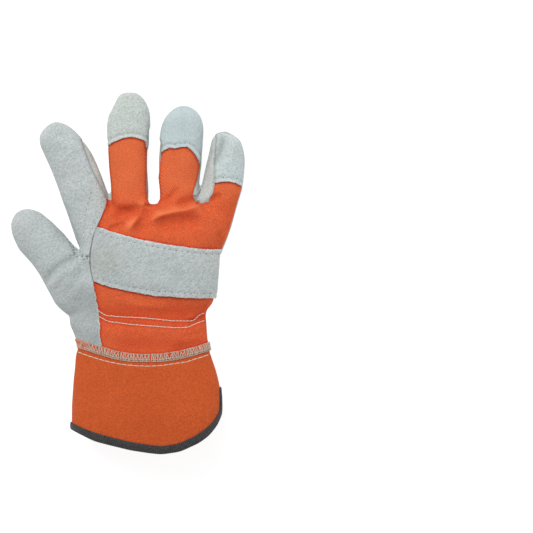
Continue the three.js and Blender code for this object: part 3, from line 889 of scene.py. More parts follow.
@dataclass(frozen=True)
class Suede:
    """Split leather: a short nap, cloudy in colour.

    Attributes:
        name: name of the leather.
        pale: colour of its pale clouds.
        deep: colour of its dark clouds.
        warm: colour of its stains.
        streak: how much longer than wide its flecks are.
        fleck: how strong they are.
        stain: middle of one larger stain in plan, in metres, or None.
        turn: direction of the nap, degrees from +X.
        nap: depth of the nap in metres.
    """

    name: str
    pale: Colour
    deep: Colour
    warm: Colour
    streak: float = 1.3
    fleck: float = 0.62
    stain: Optional[Point] = None
    turn: float = 40.0
    nap: float = 0.00050

    def material(self) -> bpy.types.Material:
        """Builds the finish."""
        n = Nodes(f"{self.name}_suede")
        tone = n.tone()
        clouds = n.span(n.grain(42, 3, 0.6), 0.32, 0.68)
        flecks = n.span(n.grain(700, 3, 0.7, stretch=self.streak, turn=self.turn), 0.40, 0.62)
        pores = n.span(n.grain(1150, 2, 0.5), 0.42, 0.60)
        stains = n.span(n.grain(34, 3, 0.6, warp=0.6), 0.52, 0.74, 0, 0.5)
        base = n.mix(clouds, self.deep, self.pale)
        base = n.mix(stains, base, self.warm)
        if self.stain:
            away = n.add("ShaderNodeVectorMath", operation="DISTANCE")
            n.feed(away.inputs[0], n.places.outputs["Object"])
            n.feed(away.inputs[1], (*self.stain, 0.033))
            reach = n.math("ADD", away.outputs["Value"], n.times(stains, -0.008))
            base = n.mix(n.span(reach, 0.0, 0.017, 0.5, 0), base,
                         shade_of(self.warm, 0.90, 0.94, 0.80))
        base = n.mix(n.times(flecks, self.fleck), base, shade_of(self.deep, 0.66))
        base = n.mix(n.times(pores, 0.55 * self.fleck), base, shade_of(self.pale, 1.3))
        # Positive tone: paler raw edges and rims, and painted highlights on the thumb seam's
        # ruffles.
        pale_edge_and_highlight = n.times(n.span(tone, 0, 1), n.span(flecks, 0, 1, 0.95, 0.35))
        base = n.mix(pale_edge_and_highlight, base, shade_of(self.pale, 1.45, most=0.95))
        # Negative tone: painted shade in seams, crotches, grooves, folds and gaps, and a plain
        # darkening on the strap's left and near the wrist.
        base = n.mix(n.span(tone, -1, 0, 0.75, 0), base, shade_of(self.deep, 0.42))
        n.bump([(n.grain(190, 3, 0.6, stretch=self.streak, turn=self.turn), self.nap * 1.8),
                (n.grain(520, 4, 0.7, stretch=self.streak, turn=self.turn), self.nap * 1.5),
                (n.grain(1300, 2, 0.6), self.nap * 0.4)])
        return n.dress(base, 0.96, 0.1, sheen=0.12)


@dataclass(frozen=True)
class Twill:
    """Cotton twill, with its diagonal line across the piece's own flow."""

    name: str
    warp: Colour
    weft: Colour
    worn: Colour
    pitch: float = 0.00150

    def material(self) -> bpy.types.Material:
        """Builds the finish."""
        n = Nodes(self.name)
        tone = n.tone()
        line = n.ribs(self.pitch, math.radians(-35), wobble=0.7)
        threads = n.ribs(self.pitch * 0.5, math.radians(55), wobble=0.8)
        clouds = n.span(n.grain(45, 3, 0.5), 0.3, 0.7)
        slubs = n.span(n.grain(1300, 2, 0.6), 0.40, 0.62)
        uneven = n.span(n.grain(130, 3, 0.6), 0.35, 0.65, 0.3, 0.8)
        base = n.mix(n.times(clouds, 0.45), self.warp, self.worn)
        base = n.mix(n.times(line, uneven), base, self.weft)
        base = n.mix(n.times(slubs, 0.8), base, shade_of(self.warp, 0.52))
        # Negative tone: painted shade, darker and redder.
        base = n.mix(n.span(tone, -1, 0, 0.75, 0), base, shade_of(self.weft, 0.85, 0.42, 0.40))
        # Positive tone: painted light, paler and yellower.
        base = n.mix(n.span(tone, 0, 1), base, shade_of(self.warp, 1.05, 1.8, 2.0))
        n.bump([(n.grain(300, 2, 0.5), 0.00012), (line, 0.00018), (threads, 0.00012)])
        return n.dress(base, 0.92, 0.08)


@dataclass(frozen=True)
class RubberCloth:
    """Cotton cloth with a thin rubber coat: smooth, with its weave only just showing."""

    name: str
    base: Colour
    dark: Colour
    pale: Colour

    def material(self) -> bpy.types.Material:
        """Builds the finish."""
        n = Nodes(self.name)
        clouds = n.span(n.grain(30, 4, 0.55), 0.3, 0.7)
        specks = n.span(n.grain(800, 3, 0.7), 0.38, 0.64)
        scuffs = n.span(n.grain(70, 5, 0.65, warp=0.8, stretch=2.2, turn=80), 0.60, 0.78, 0, 0.35)
        base = n.mix(n.times(clouds, 0.6), self.base, self.dark)
        base = n.mix(n.times(specks, 0.7), base, shade_of(self.dark, 0.68))
        base = n.mix(scuffs, base, self.pale)
        weave = n.ribs(0.0011, math.radians(-52), wobble=0.4)
        n.bump([(n.grain(240, 3, 0.5), 0.00014), (n.grain(800, 2, 0.6), 0.00008), (weave, 0.00006)])
        return n.dress(base, 0.68, 0.12)


@dataclass(frozen=True)
class Tape:
    """Woven binding tape with ribs across it."""

    name: str
    base: Colour
    pale: Colour

    def material(self) -> bpy.types.Material:
        """Builds the finish."""
        n = Nodes(self.name)
        rib = n.ribs(0.0016, 0.0, wobble=0.6)
        flecks = n.span(n.grain(700, 3, 0.7), 0.42, 0.62)
        base = n.mix(n.times(rib, 0.4), self.base, self.pale)
        base = n.mix(n.times(flecks, 0.5), base, self.pale)
        n.bump([(rib, 0.00014), (n.grain(900, 2, 0.5), 0.00005)])
        return n.dress(base, 0.85, 0.2, sheen=0.1)


@dataclass(frozen=True)
class Thread:
    """Spun sewing thread."""

    name: str
    base: Colour
    deep: Colour

    def material(self) -> bpy.types.Material:
        """Builds the finish."""
        n = Nodes(self.name)
        fibre = n.span(n.grain(2600, 2, 0.6), 0.3, 0.7)
        base = n.mix(n.times(fibre, 0.6), self.base, self.deep)
        n.bump([(n.grain(3200, 2, 0.6), 0.00006)])
        return n.dress(base, 0.85, 0.2, sheen=0.1)


# --- Form of the hand ---

Row = tuple[float, float, float]

ROW_STEP = 1.4  # distance between two rings of a tube
TIP_ROUND = 17.0  # length of a fingertip's rounded end


@dataclass(frozen=True)
class Finger:
    """One finger of the form.

    Attributes:
        root: where its axis starts, inside the hand.
        tilt: degrees from +Y towards the little finger.
        length: from the root to the tip.
        top: its height at the root, in the middle and before the tip.
        rows: share of the length, then the left and right edge beside the axis.
    """

    root: Point
    tilt: float
    length: float
    top: Row
    rows: tuple[Row, ...]

    def tube(self) -> tuple[np.ndarray, np.ndarray]:
        """Lofts the finger.

        Returns:
            Points and triangles.
        """
        table = np.array(self.rows)
        lean = math.radians(self.tilt)
        along = np.array([math.sin(lean), math.cos(lean)])
        across = np.array([math.cos(lean), -math.sin(lean)])
        dome = 1.0 - TIP_ROUND / self.length
        count = int(self.length / ROW_STEP)
        places = np.r_[np.linspace(0, 0.97, count), 0.978, 0.985, 0.992, 1.0]
        left = smooth_row(table[:, 0], table[:, 1], places)
        right = smooth_row(table[:, 0], table[:, 2], places)
        tops = smooth_row(np.array([0, 0.45, 0.8]), np.array(self.top), np.minimum(places, 0.8))
        turn = np.linspace(0, 2 * math.pi, 96, endpoint=False)
        rings = []
        for at, low, high, top in zip(places, left, right, tops):
            round_off = math.sqrt(max(1.0 - max((at - dome) / (1.018 - dome), 0.0) ** 2, 0.0))
            centre = np.array(self.root) + along * at * self.length
            rings.append(section(centre, across, low, high, top, 2.5, turn, round_off))
        ends = []
        for at, ring in ((places[0], rings[0]), (places[-1] + 0.8 / self.length, rings[-1])):
            middle = (np.interp(at, table[:, 0], table[:, 1])
                      + np.interp(at, table[:, 0], table[:, 2])) / 2
            flat = np.array(self.root) + along * at * self.length + across * middle
            ends.append((*flat, ring[:, 2].mean()))
        return tube(rings[::-1], ends[1], ends[0])


def smooth_row(at: np.ndarray, values: np.ndarray, places: np.ndarray) -> np.ndarray:
    """A table's column read smoothly: cubic, without overshooting its rows.

    Args:
        at: where the table's rows are.
        values: the column.
        places: where it is read.

    Returns:
        One value for each place.
    """
    step = np.diff(at)
    slope = np.diff(values) / step
    tangent = np.r_[slope[0], np.zeros(len(at) - 2), slope[-1]]
    for i in range(1, len(at) - 1):
        a, b = slope[i - 1], slope[i]
        tangent[i] = 0.0 if a * b <= 0 else 2 * a * b / (a + b)
    i = np.clip(np.searchsorted(at, places) - 1, 0, len(step) - 1)
    t = (places - at[i]) / step[i]
    h00, h10 = 2 * t**3 - 3 * t**2 + 1, t**3 - 2 * t**2 + t
    h01, h11 = -2 * t**3 + 3 * t**2, t**3 - t**2
    return (h00 * values[i] + h10 * step[i] * tangent[i] + h01 * values[i + 1]
            + h11 * step[i] * tangent[i + 1])


def section(centre: np.ndarray, across: np.ndarray, left: float, right: float, top: float,
            sink: float, turn: np.ndarray, round_off: float = 1.0, offset: float = 0.0,
            tuck: float = 0.0, square: Point = (0.82, 0.90)) -> np.ndarray:
    """One upright ring of a tube: a soft flat-topped oval, pressed flat on the floor.

    Args:
        centre: where the axis is, in plan.
        across: unit direction from its left to its right.
        left: left edge beside the axis, negative.
        right: right edge beside the axis.
        top: height of the ring.
        sink: how far its round underside would reach below the floor.
        turn: angles of the ring's points.
        round_off: 1, or less in a rounded end.
        offset: how far out the ring is moved.
        tuck: how far its lower half is drawn in.
        square: exponents of width and height: 1 is an ellipse, less is squarer.

    Returns:
        The ring's points.
    """
    level = np.sin(turn)
    drawn = offset - tuck * (1 - ease(level, -0.3, 0.2))
    half, middle = (right - left) / 2, (right + left) / 2
    side = np.sign(np.cos(turn)) * np.abs(np.cos(turn)) ** square[0]
    out = middle + side * (half + drawn)
    mid = (top - sink) / 2
    rise = (top + sink) / 2
    lift = np.sign(level) * np.abs(level) ** square[1] * (rise + drawn) * round_off
    plan = centre[None, :] + across[None, :] * out[:, None]
    return np.column_stack([plan, np.maximum(mid + lift, np.maximum(0.0, -drawn))])


@dataclass
class HandForm:
    """The stuffed shape that every panel is cut from.

    Attributes:
        voxel: size of the grid that joins hand and fingers.
        sink: how far the hand's round underside would reach below the floor.
        stations: Y, left edge, right edge and height of the hand, from the cuff to the crotches.
        fingers: the five fingers.
    """

    voxel: float = 0.8
    sink: float = 3.5
    stations: tuple[tuple[float, float, float, float], ...] = (
        (-103.0, -55.0, 60.0, 50.0), (-79.0, -55.0, 60.0, 50.0), (-62.0, -54.5, 60.0, 49.0),
        (-47.0, -53.3, 60.0, 47.2), (-36.0, -52.2, 59.5, 44.8), (-26.0, -51.6, 58.2, 42.4),
        (-14.0, -51.0, 55.4, 39.6), (-5.0, -50.5, 52.6, 37.4), (3.8, -49.4, 50.2, 36.7),
        (9.8, -50.4, 49.0, 36.6), (15.8, -53.0, 48.6, 36.2), (21.8, -55.0, 48.0, 34.0),
        (27.5, -54.8, 47.5, 32.6), (30.8, -54.0, 48.6, 33.0), (33.8, -53.2, 51.4, 33.8),
        (36.8, -52.6, 53.4, 34.4), (41.0, -52.0, 55.0, 35.4), (52.8, -50.5, 56.0, 36.0),
        (66.0, -48.1, 57.0, 35.6), (72.8, -47.4, 57.2, 35.2), (78.8, -46.4, 60.6, 34.5),
        (84.8, -44.6, 63.0, 33.4), (90.8, -42.4, 65.2, 32.0), (96.8, -40.2, 66.8, 30.4),
        (100.0, -39.0, 67.4, 29.8),
    )
    fingers: dict[str, Finger] = field(default_factory=lambda: {
        "thumb": Finger((-36.77, 34.54), -40.0, 90.0, (27.0, 26.5, 23.5), (
            (0.0, -17.0, 17.0), (0.1, -20.4, 19.5), (0.2, -21.6, 19.8), (0.3, -20.0, 19.0),
            (0.4, -18.25, 17.6), (0.5, -16.6, 17.0), (0.6, -15.9, 16.75), (0.7, -16.25, 16.25),
            (0.75, -16.4, 15.9), (0.8, -15.5, 15.1), (0.84, -14.5, 14.4), (0.88, -13.4, 13.6),
            (0.92, -11.6, 11.8), (0.95, -9.9, 9.9), (0.97, -8.3, 8.3), (0.985, -6.2, 6.4),
            (1.0, -3.2, 3.2))),
        "index": Finger((-27.26, 68.97), -21.5, 109.5, (27.0, 24.5, 22.5), (
            (0.0, -10.0, 10.0), (0.08, -14.2, 13.5), (0.2, -15.75, 16.0), (0.3, -15.5, 17.8),
            (0.4, -15.1, 18.9), (0.5, -14.9, 19.1), (0.6, -14.5, 19.2), (0.7, -14.4, 18.7),
            (0.75, -14.6, 17.75), (0.8, -14.9, 16.65), (0.84, -15.1, 15.3), (0.88, -15.2, 13.75),
            (0.92, -14.6, 11.6), (0.95, -13.2, 9.5), (0.97, -11.3, 7.6), (0.985, -8.5, 5.6),
            (1.0, -4.6, 3.3))),
        "middle": Finger((-9.51, 86.02), 0.0, 107.3, (27.0, 24.5, 22.5), (
            (0.0, -9.4, 9.4), (0.08, -13.2, 13.0), (0.16, -14.6, 13.9), (0.3, -14.9, 13.75),
            (0.4, -15.6, 13.4), (0.5, -16.4, 13.1), (0.6, -17.1, 13.3), (0.63, -17.4, 14.3),
            (0.7, -17.7, 14.5), (0.8, -17.1, 14.7), (0.84, -16.2, 14.6), (0.88, -14.1, 14.0),
            (0.92, -11.9, 12.4), (0.95, -10.4, 10.6), (0.97, -9.5, 9.1), (0.985, -8.3, 7.4),
            (1.0, -5.6, 4.6))),
        "ring": Finger((25.29, 84.04), 3.2, 99.6, (26.0, 23.5, 21.5), (
            (0.0, -9.6, 9.6), (0.08, -13.6, 12.8), (0.16, -15.2, 14.0), (0.3, -15.4, 14.8),
            (0.4, -16.2, 14.4), (0.5, -17.4, 15.1), (0.6, -17.9, 15.9), (0.7, -17.6, 15.9),
            (0.8, -16.8, 15.2), (0.84, -16.1, 15.1), (0.88, -14.9, 14.5), (0.92, -12.9, 13.3),
            (0.95, -10.4, 11.3), (0.97, -8.6, 9.5), (0.985, -6.8, 7.2), (1.0, -3.5, 4.2))),
        "little": Finger((46.4, 68.2), 9.8, 97.4, (24.0, 21.5, 19.5), (
            (0.0, -8.5, 8.5), (0.1, -12.0, 11.75), (0.2, -12.8, 13.9), (0.3, -12.9, 15.4),
            (0.4, -13.3, 16.4), (0.5, -12.5, 17.4), (0.6, -11.9, 18.5), (0.7, -11.5, 17.9),
            (0.8, -10.9, 16.9), (0.84, -10.7, 16.0), (0.88, -10.6, 14.7), (0.92, -10.4, 12.9),
            (0.95, -9.6, 10.9), (0.97, -8.6, 8.6), (0.985, -6.6, 5.8), (1.0, -3.2, 1.4))),
    })

    def hand_row(self, y: np.ndarray) -> tuple[np.ndarray, np.ndarray, np.ndarray]:
        """Left edge, right edge and height of the hand at each Y."""
        table = np.array(self.stations)
        return tuple(smooth_row(table[:, 0], table[:, k], y) for k in (1, 2, 3))

    def ring(self, y: float, edges: Sequence[float], turn: np.ndarray,
             **more: float) -> np.ndarray:
        """The hand's section at one Y.

        Args:
            y: where it is.
            edges: its left edge, its right edge and its height.
            turn: angles of its points.
            more: offset and tuck, where it has them.

        Returns:
            The ring's points.
        """
        return section(np.array([0.0, y]), np.array([1.0, 0.0]), *edges, self.sink, turn,
                       square=HAND_SQUARE, **more)

    def hand_tube(self) -> tuple[np.ndarray, np.ndarray]:
        """Lofts the hand, rounded towards the crotches."""
        turn = np.linspace(0, 2 * math.pi, 200, endpoint=False)
        low, high = -44.0, 99.0
        ys = np.arange(low, high + 0.01, ROW_STEP)
        rings = [self.ring(y, edges, turn) for y, *edges in zip(ys, *self.hand_row(ys))]
        left, right, top = (float(v[0]) for v in self.hand_row(np.array([high])))
        middle, mid = (left + right) / 2, (top - self.sink) / 2
        for step in range(1, 8):
            angle = math.pi / 2 * step / 7.4
            shrink = math.cos(angle)
            ring = self.ring(high + math.sin(angle) * 11.5, (left, right, top), turn)
            ring[:, 0] = middle + (ring[:, 0] - middle) * shrink
            ring[:, 2] = mid + (ring[:, 2] - mid) * shrink
            rings.append(ring)
        return tube(rings[::-1], (middle, high + 11.6, mid), (0.0, low, 18.0))

    def build(self) -> Skin:
        """Joins hand and fingers, and presses the folds in.

        Returns:
            The closed form.
        """
        tubes = (self.hand_tube(), *(finger.tube() for finger in self.fingers.values()))
        block = raw_object("form_block", *joined(tubes))
        modifier = block.modifiers.new("join", "REMESH")
        modifier.mode = "VOXEL"
        modifier.voxel_size = self.voxel
        modifier.adaptivity = 0.0
        apply_modifiers(block)
        points, faces = mesh_data(block)
        bpy.data.objects.remove(block)
        floor = points[:, 2] < 0.4
        points = relaxed(points, faces, 14)
        points[:, 2] = np.where(floor, np.maximum(points[:, 2], 0.0), points[:, 2])
        for _ in range(2):
            points = self.folded(points, faces)
        return plain_skin(points, faces)

    def folded(self, points: np.ndarray, faces: np.ndarray) -> np.ndarray:
        """Presses half of every fold into the form.

        Args:
            points: the form's points.
            faces: its triangles.

        Returns:
            The new points.
        """
        normals = point_normals(points, faces)
        plan = points[:, :2]
        move = np.zeros(len(points))
        for fold in FOLDS:
            away, side, along = course_of(fold.line, plan)
            facing = ease(normals[:, 2] * fold.face.value, 0.05, 0.5)
            fade = ease(along, 0.0, 0.25) * ease(1.0 - along, 0.0, 0.25)
            fade = fade + (1 - fade) * 0.15 * near(away, fold.width)
            press = -fold.depth * near(away, fold.width)
            if fold.ridge:
                press += fold.ridge * near(side - fold.away, 1.3 * fold.width)
            move += press * fade * facing
        up = ease(normals[:, 2], 0.0, 0.4)
        move += 0.30 * ripple(points, 34.0, 5) * up + 0.14 * ripple(points, 15.0, 6) * up
        x, y = plan.T
        upper, lower = (height_on(line, x) for line in ELASTIC_ROWS)
        on_cloth = ease(x, -34.0, -30.0)
        for row in (upper, lower):
            move -= 0.7 * (near(y - row, 1.6) * on_cloth) * up
        middle = (upper + lower) / 2
        reach = near(y - middle, 7.0) * ease(x, -34.0, -28.0)
        pucker = np.sin(x * (2 * math.pi / 5.2) + 1.4 * ripple(plan, 18.0, 8))
        move += 0.32 * pucker * reach * up
        move += 0.45 * (near(y - middle, 2.2) * on_cloth) * up
        moved = points + normals * (0.5 * move)[:, None]
        moved[:, 2] = np.maximum(moved[:, 2], 0.0)
        return moved


# --- Panels ---


@dataclass
class Panels:
    """The leather and cloth panels, cut from the form and sewn edge to edge.

    Attributes:
        form: the form.
        suede: finish of each leather panel.
        twill: finish of the back.
        leather_wall: thickness of the leather.
        cloth_wall: thickness of the cloth.
        cloth_depth: how far the cloth lies below the leather's face.
        lap: how far the cloth runs on under the leather.
        trees: the outer face of each finished panel, by its name.
        skins: each finished panel before it gets its wall, by its name.
    """

    form: Skin
    suede: dict[str, bpy.types.Material]
    twill: bpy.types.Material
    leather_wall: float = 1.4
    cloth_wall: float = 0.9
    cloth_depth: float = 1.0
    lap: float = 3.0
    trees: dict[str, BVHTree] = field(default_factory=dict)
    skins: dict[str, Skin] = field(default_factory=dict)

    def __post_init__(self) -> None:
        """Measures the form against the pattern's lines."""
        plan = self.form.points[:, :2]
        self.x, self.y, self.z = self.form.points.T
        fray = 0.22 * ripple(self.form.points, 2.4, 21) + 0.16 * ripple(self.form.points, 5.0, 22)
        self.side = self.z - SIDE_SEAM
        self.wrist = self.y - height_on(WRIST_SEAM, self.x)
        at_strap = ease(self.y, 47.0, 51.0)
        self.cloth = depth_in([*CLOTH_EDGE, (FAR, -61.8), (FAR, 173.2)], plan)
        self.cloth = self.cloth + fray * (1.2 - at_strap)
        self.thumb_side = depth_in([*THUMB_LINE, (FAR, 60.0), (FAR, -FAR), (-FAR, -FAR),
                                    (-FAR, 150.8)], plan)
        self.front = depth_in(FRONT_EDGE, plan)
        self.patch = depth_in(PATCH, plan)
        self.strap = depth_in([*STRAP_TOP, *STRAP_BOTTOM, *STRAP_END], plan)
        self.strap = self.strap + 0.6 * fray * ease(self.x, -35.0, -31.0)
        self.forks = {name: depth_in(outline, plan) for name, outline in FORKS.items()}
        self.tips = {name: depth_in([*line, *TIP_BACKS[name]], plan) + 0.5 * fray
                     for name, line in TIP_LINES.items()}
        beside = [np.maximum(-depth, FORK_SEAM - self.z) for depth in self.forks.values()]
        self.off_forks = np.minimum.reduce(beside)

    def seam(self, away: np.ndarray, deep: float, width: float, puff: float) -> np.ndarray:
        """How a sewn seam draws the leather in beside its line.

        Args:
            away: distance of each place from the seam.
            deep: how deep the seam lies.
            width: half width of its channel.
            puff: height of the swelling beside it.

        Returns:
            The lift of each place.
        """
        line = np.abs(away)
        return -deep * near(line, width) + puff * near(line - 3.0, 1.8)

    def sew(self, piece: Piece, keep: np.ndarray, lift: np.ndarray, wall: float,
            tone: Optional[np.ndarray] = None, flow: bool = False) -> bpy.types.Object:
        """Cuts one panel and gives it its wall.

        Args:
            piece: what it stands for.
            keep: positive where the panel is.
            lift: how far its face stands off the form.
            wall: its thickness.
            tone: its painted light and shade and paler raw edges, or None for none.
            flow: True where its finish follows the cloth.

        Returns:
            The panel.
        """
        skin = self.form.cut(keep, lift, np.zeros_like(keep) if tone is None else tone).largest()
        points, faces = skin.walled(wall)
        uv = None
        if flow:
            drop = 0.6 * np.maximum(22.0 - points[:, 2], 0.0)
            uv = np.column_stack([points[:, 0] + np.sign(points[:, 0] - 5.0) * drop, points[:, 1]])
        self.skins[piece.name] = skin
        self.trees[piece.name] = skin.tree()
        return finished(piece, points, faces, uv, np.tile(skin.tone, 2))

    def painted_fold_shade(self) -> np.ndarray:
        """How far each place lies on the side of a fold that is turned down, as painted shade;
        negative beside ridges, where it paints highlight.
        """
        worn = np.zeros(len(self.form.points))
        for fold in (f for f in FOLDS if f.face is Face.BACK):
            _, side, along = course_of(fold.line, self.form.points[:, :2])
            upper = math.copysign(0.6, sum(fold.line[-1]) - sum(fold.line[0]))
            fade = ease(along, 0.0, 0.25) * ease(1.0 - along, 0.0, 0.25)
            worn += fold.depth * near(side - upper * fold.width, 1.15 * fold.width) * fade
        return worn

    def build(self) -> None:
        """Cuts every panel."""
        side_seam = self.seam(self.side, 0.8, 1.1, 0.1)
        fork_seam = self.seam(self.off_forks, 0.6, 1.0, 0.1)
        fork_seam = fork_seam * ease(self.z, FORK_SEAM - 1, FORK_SEAM + 1)
        thumb_seam = self.seam(self.thumb_side, 0.6, 1.5, 0.4)
        gathered = ease(self.x, -62.0, -48.0)
        ruffle = ripple(self.form.points, 2.1, 27)
        thumb_seam += 0.6 * ruffle * near(self.thumb_side, 2.8) * gathered
        wrist_seam = self.seam(self.wrist, 0.8, 2.0, 0.2)
        front_seam = self.seam(self.front, 0.9, 1.2, 0.2) * ease(-self.side, -1, 1)
        leather = side_seam + fork_seam
        beside_forks = ease(self.z, 4.0, 7.0)
        # Painted shade along the side seam and along the fork strips' seams.
        seam_shade = -0.8 * near(self.side, 1.0) - 0.7 * near(self.off_forks, 1.0) * beside_forks
        # Thumb and index back: painted shade along the thumb seam, painted highlight and shade on
        # its ruffles, and a painted shadow in the gap at the strap's end.
        thumb_shade = seam_shade - (0.3 - 0.2 * gathered) * near(self.thumb_side, 1.1)
        thumb_shade = thumb_shade + 0.5 * gathered * ruffle * near(self.thumb_side, 2.6)
        end = near(self.y - 72.5, 24.0)
        end_gap = 0.42 * end
        thumb_shade = thumb_shade - 0.6 * end * near(self.cloth + end_gap, 0.6)
        raw = 0.35 * near(self.cloth, 0.6) + 0.18 * near(self.cloth + 3.0, 0.8)
        raw_tone = 0.8 * near(self.cloth, 0.7) * (1 - near(self.y - 71.0, 20.0))

        # Palm side: painted shade along the side, fork and front seams, and paler along the patch's
        # edge below the wrist.
        palm = least(-self.side, -self.front, self.off_forks,
                     np.maximum(self.wrist, self.patch))
        run = self.y - height_on(PATCH_RUN, self.x)
        rows = 0.18 * (near(self.patch - 3.2, 0.8) + near(self.patch - 5.8, 0.8) + near(run, 1.0))
        self.sew(Piece("palm_leather", self.suede["palm"], "leather", ("palm",)), palm,
                 leather + front_seam + np.where(self.patch > 0, -rows, wrist_seam),
                 self.leather_wall,
                 seam_shade - 0.7 * near(self.front, 1.0) * ease(-self.side, -1, 1)
                 + 0.7 * near(self.patch, 0.8) * ease(-self.y, 2.0, 6.0))
        self.sew(Piece("finger_fronts", self.suede["palm"], "leather", ("middle_ring_front",)),
                 least(-self.side, self.front, self.off_forks),
                 leather + front_seam, self.leather_wall, seam_shade - 0.7 * near(self.front, 1.0))
        taper = 0.45 * near(self.off_forks, 1.8) * ease(self.y, 138.0, 150.0)
        self.sew(Piece("index_back_leather", self.suede["index"], "leather", ("index_back",)),
                 least(self.side, -self.cloth - end_gap, -self.thumb_side, self.off_forks),
                 leather + thumb_seam - raw - taper, self.leather_wall, thumb_shade + raw_tone)
        # Thumb back: the painted shade and highlight above, paler raw edges, and darker towards the
        # wrist on the index side.
        self.sew(Piece("thumb_back_leather", self.suede["thumb"], "leather", ("thumb_back",)),
                 least(self.side, -self.cloth - end_gap, self.thumb_side, self.wrist),
                 leather + thumb_seam + wrist_seam - raw, self.leather_wall,
                 thumb_shade + raw_tone
                 - 0.38 * ease(-self.y, -56.0, -40.0) * ease(self.x, -60.0, -50.0))
        # Fork strips: painted shade along their seams, deep in the crotches.
        for name, depth in self.forks.items():
            self.sew(Piece(f"fork_strip_{name}", self.suede["strip"], "leather_side",
                           (f"fork_{name}",)),
                     np.minimum(depth, self.z - FORK_SEAM), self.seam(depth, 0.6, 1.0, 0.1) - 0.1,
                     self.leather_wall, -0.45 * near(depth, 0.8))
        under_tips = np.minimum.reduce([-depth for depth in self.tips.values()])
        hidden = ease(-np.minimum(under_tips, self.cloth), -0.3, 1.0)
        shown = 1 - np.maximum(ease(-under_tips, -1.2, 0.0), ease(self.strap, -1.2, 0.0))
        sewn = np.maximum(near(self.side, 5.0), near(self.off_forks, 2.5) * beside_forks) * shown
        cloth_lift = (-self.cloth_depth + 0.75 * sewn - 0.45 * hidden - 0.45 * near(self.strap, 5.0)
                      + 0.5 * side_seam + 0.7 * wrist_seam - 0.4 * ease(self.strap, 0.0, 2.0)
                      - 0.25 * near(under_tips, 2.0))
        teeth = 1 + 0.35 * ripple(self.form.points, 2.2, 28)
        # Painted light and shade on the back cloth: paler on the fingers, painted shadow beside the
        # strap, under the tips and at the leather's edge, painted shade along the seams and above
        # the wrist band.
        shade = (0.18 * ease(self.y, 108.0, 124.0) - 0.95 * teeth * near(self.strap + 0.5, 1.0)
                 - 1.1 * near(under_tips - 0.4, 0.9) - 0.4 * near(self.side, 1.2)
                 - 0.4 * near(self.off_forks, 0.9) * beside_forks
                 - 0.9 * teeth * near(self.cloth - 0.4, 0.9) - 0.6 * near(self.wrist - 3.9, 0.8))
        # worn: painted shade on each fold's downturned wall, negative where it paints highlight
        # beside ridges.
        worn = self.painted_fold_shade()
        shade = shade - 0.075 * worn - 0.1 * np.minimum(worn, 0.0)
        # Darker and redder across the gathered elastic band and just above the wrist seam, with
        # painted shade beside each elastic row.
        shade = (shade - 0.48 * near(self.y - 27.0, 8.0)
                 - 0.35 * near(self.y - 5.0, 6.0) * ease(self.x, -28.0, -8.0))
        for line in ELASTIC_ROWS:
            shade -= 0.35 * near(self.y - height_on(line, self.x) + 0.5, 0.9)
        self.sew(Piece("back_cloth_twill", self.twill, "cotton_twill", ("back_cloth",)),
                 least(self.side, self.cloth + self.lap, self.off_forks,
                       under_tips + self.lap, self.wrist),
                 cloth_lift, self.cloth_wall, shade, flow=True)
        # Tips: painted shade at the seams, a paler rim along the edge, painted shade in the groove
        # behind it, and painted fold shade.
        for name, depth in self.tips.items():
            edge = 0.3 * near(depth, 0.5) + 0.5 * near(depth - 3.0, 0.9)
            self.sew(Piece(f"tip_{name}_leather", self.suede[f"tip_{name}"], "leather",
                           (f"tip_{name}",)),
                     least(self.side, depth, self.off_forks), leather + 0.4 - edge,
                     self.leather_wall,
                     seam_shade + 0.45 * near(depth - 0.8, 1.1) - 0.3 * near(depth - 3.0, 0.7)
                     - 0.12 * worn)
        # Strap: paler along its raw edge, darker towards its left end, and a painted shadow in the
        # gap at that end.
        ends = 0.4 * near(self.strap, 0.6) + 0.4 * near(self.strap - 3.4, 1.1)
        self.sew(Piece("strap_leather", self.suede["strap"], "leather", ("knuckle_strap",)),
                 np.minimum(self.strap, self.side), 0.55 - ends + 0.3 * side_seam,
                 self.leather_wall,
                 0.6 * near(self.strap - 0.4, 0.75) * ease(self.x, -34.0, -31.0)
                 - 0.25 * ease(-self.x, 8.0, 30.0)
                 - 0.6 * near(self.strap, 0.4) * ease(-self.x, 33.0, 35.0))


# --- Cuff and binding ---


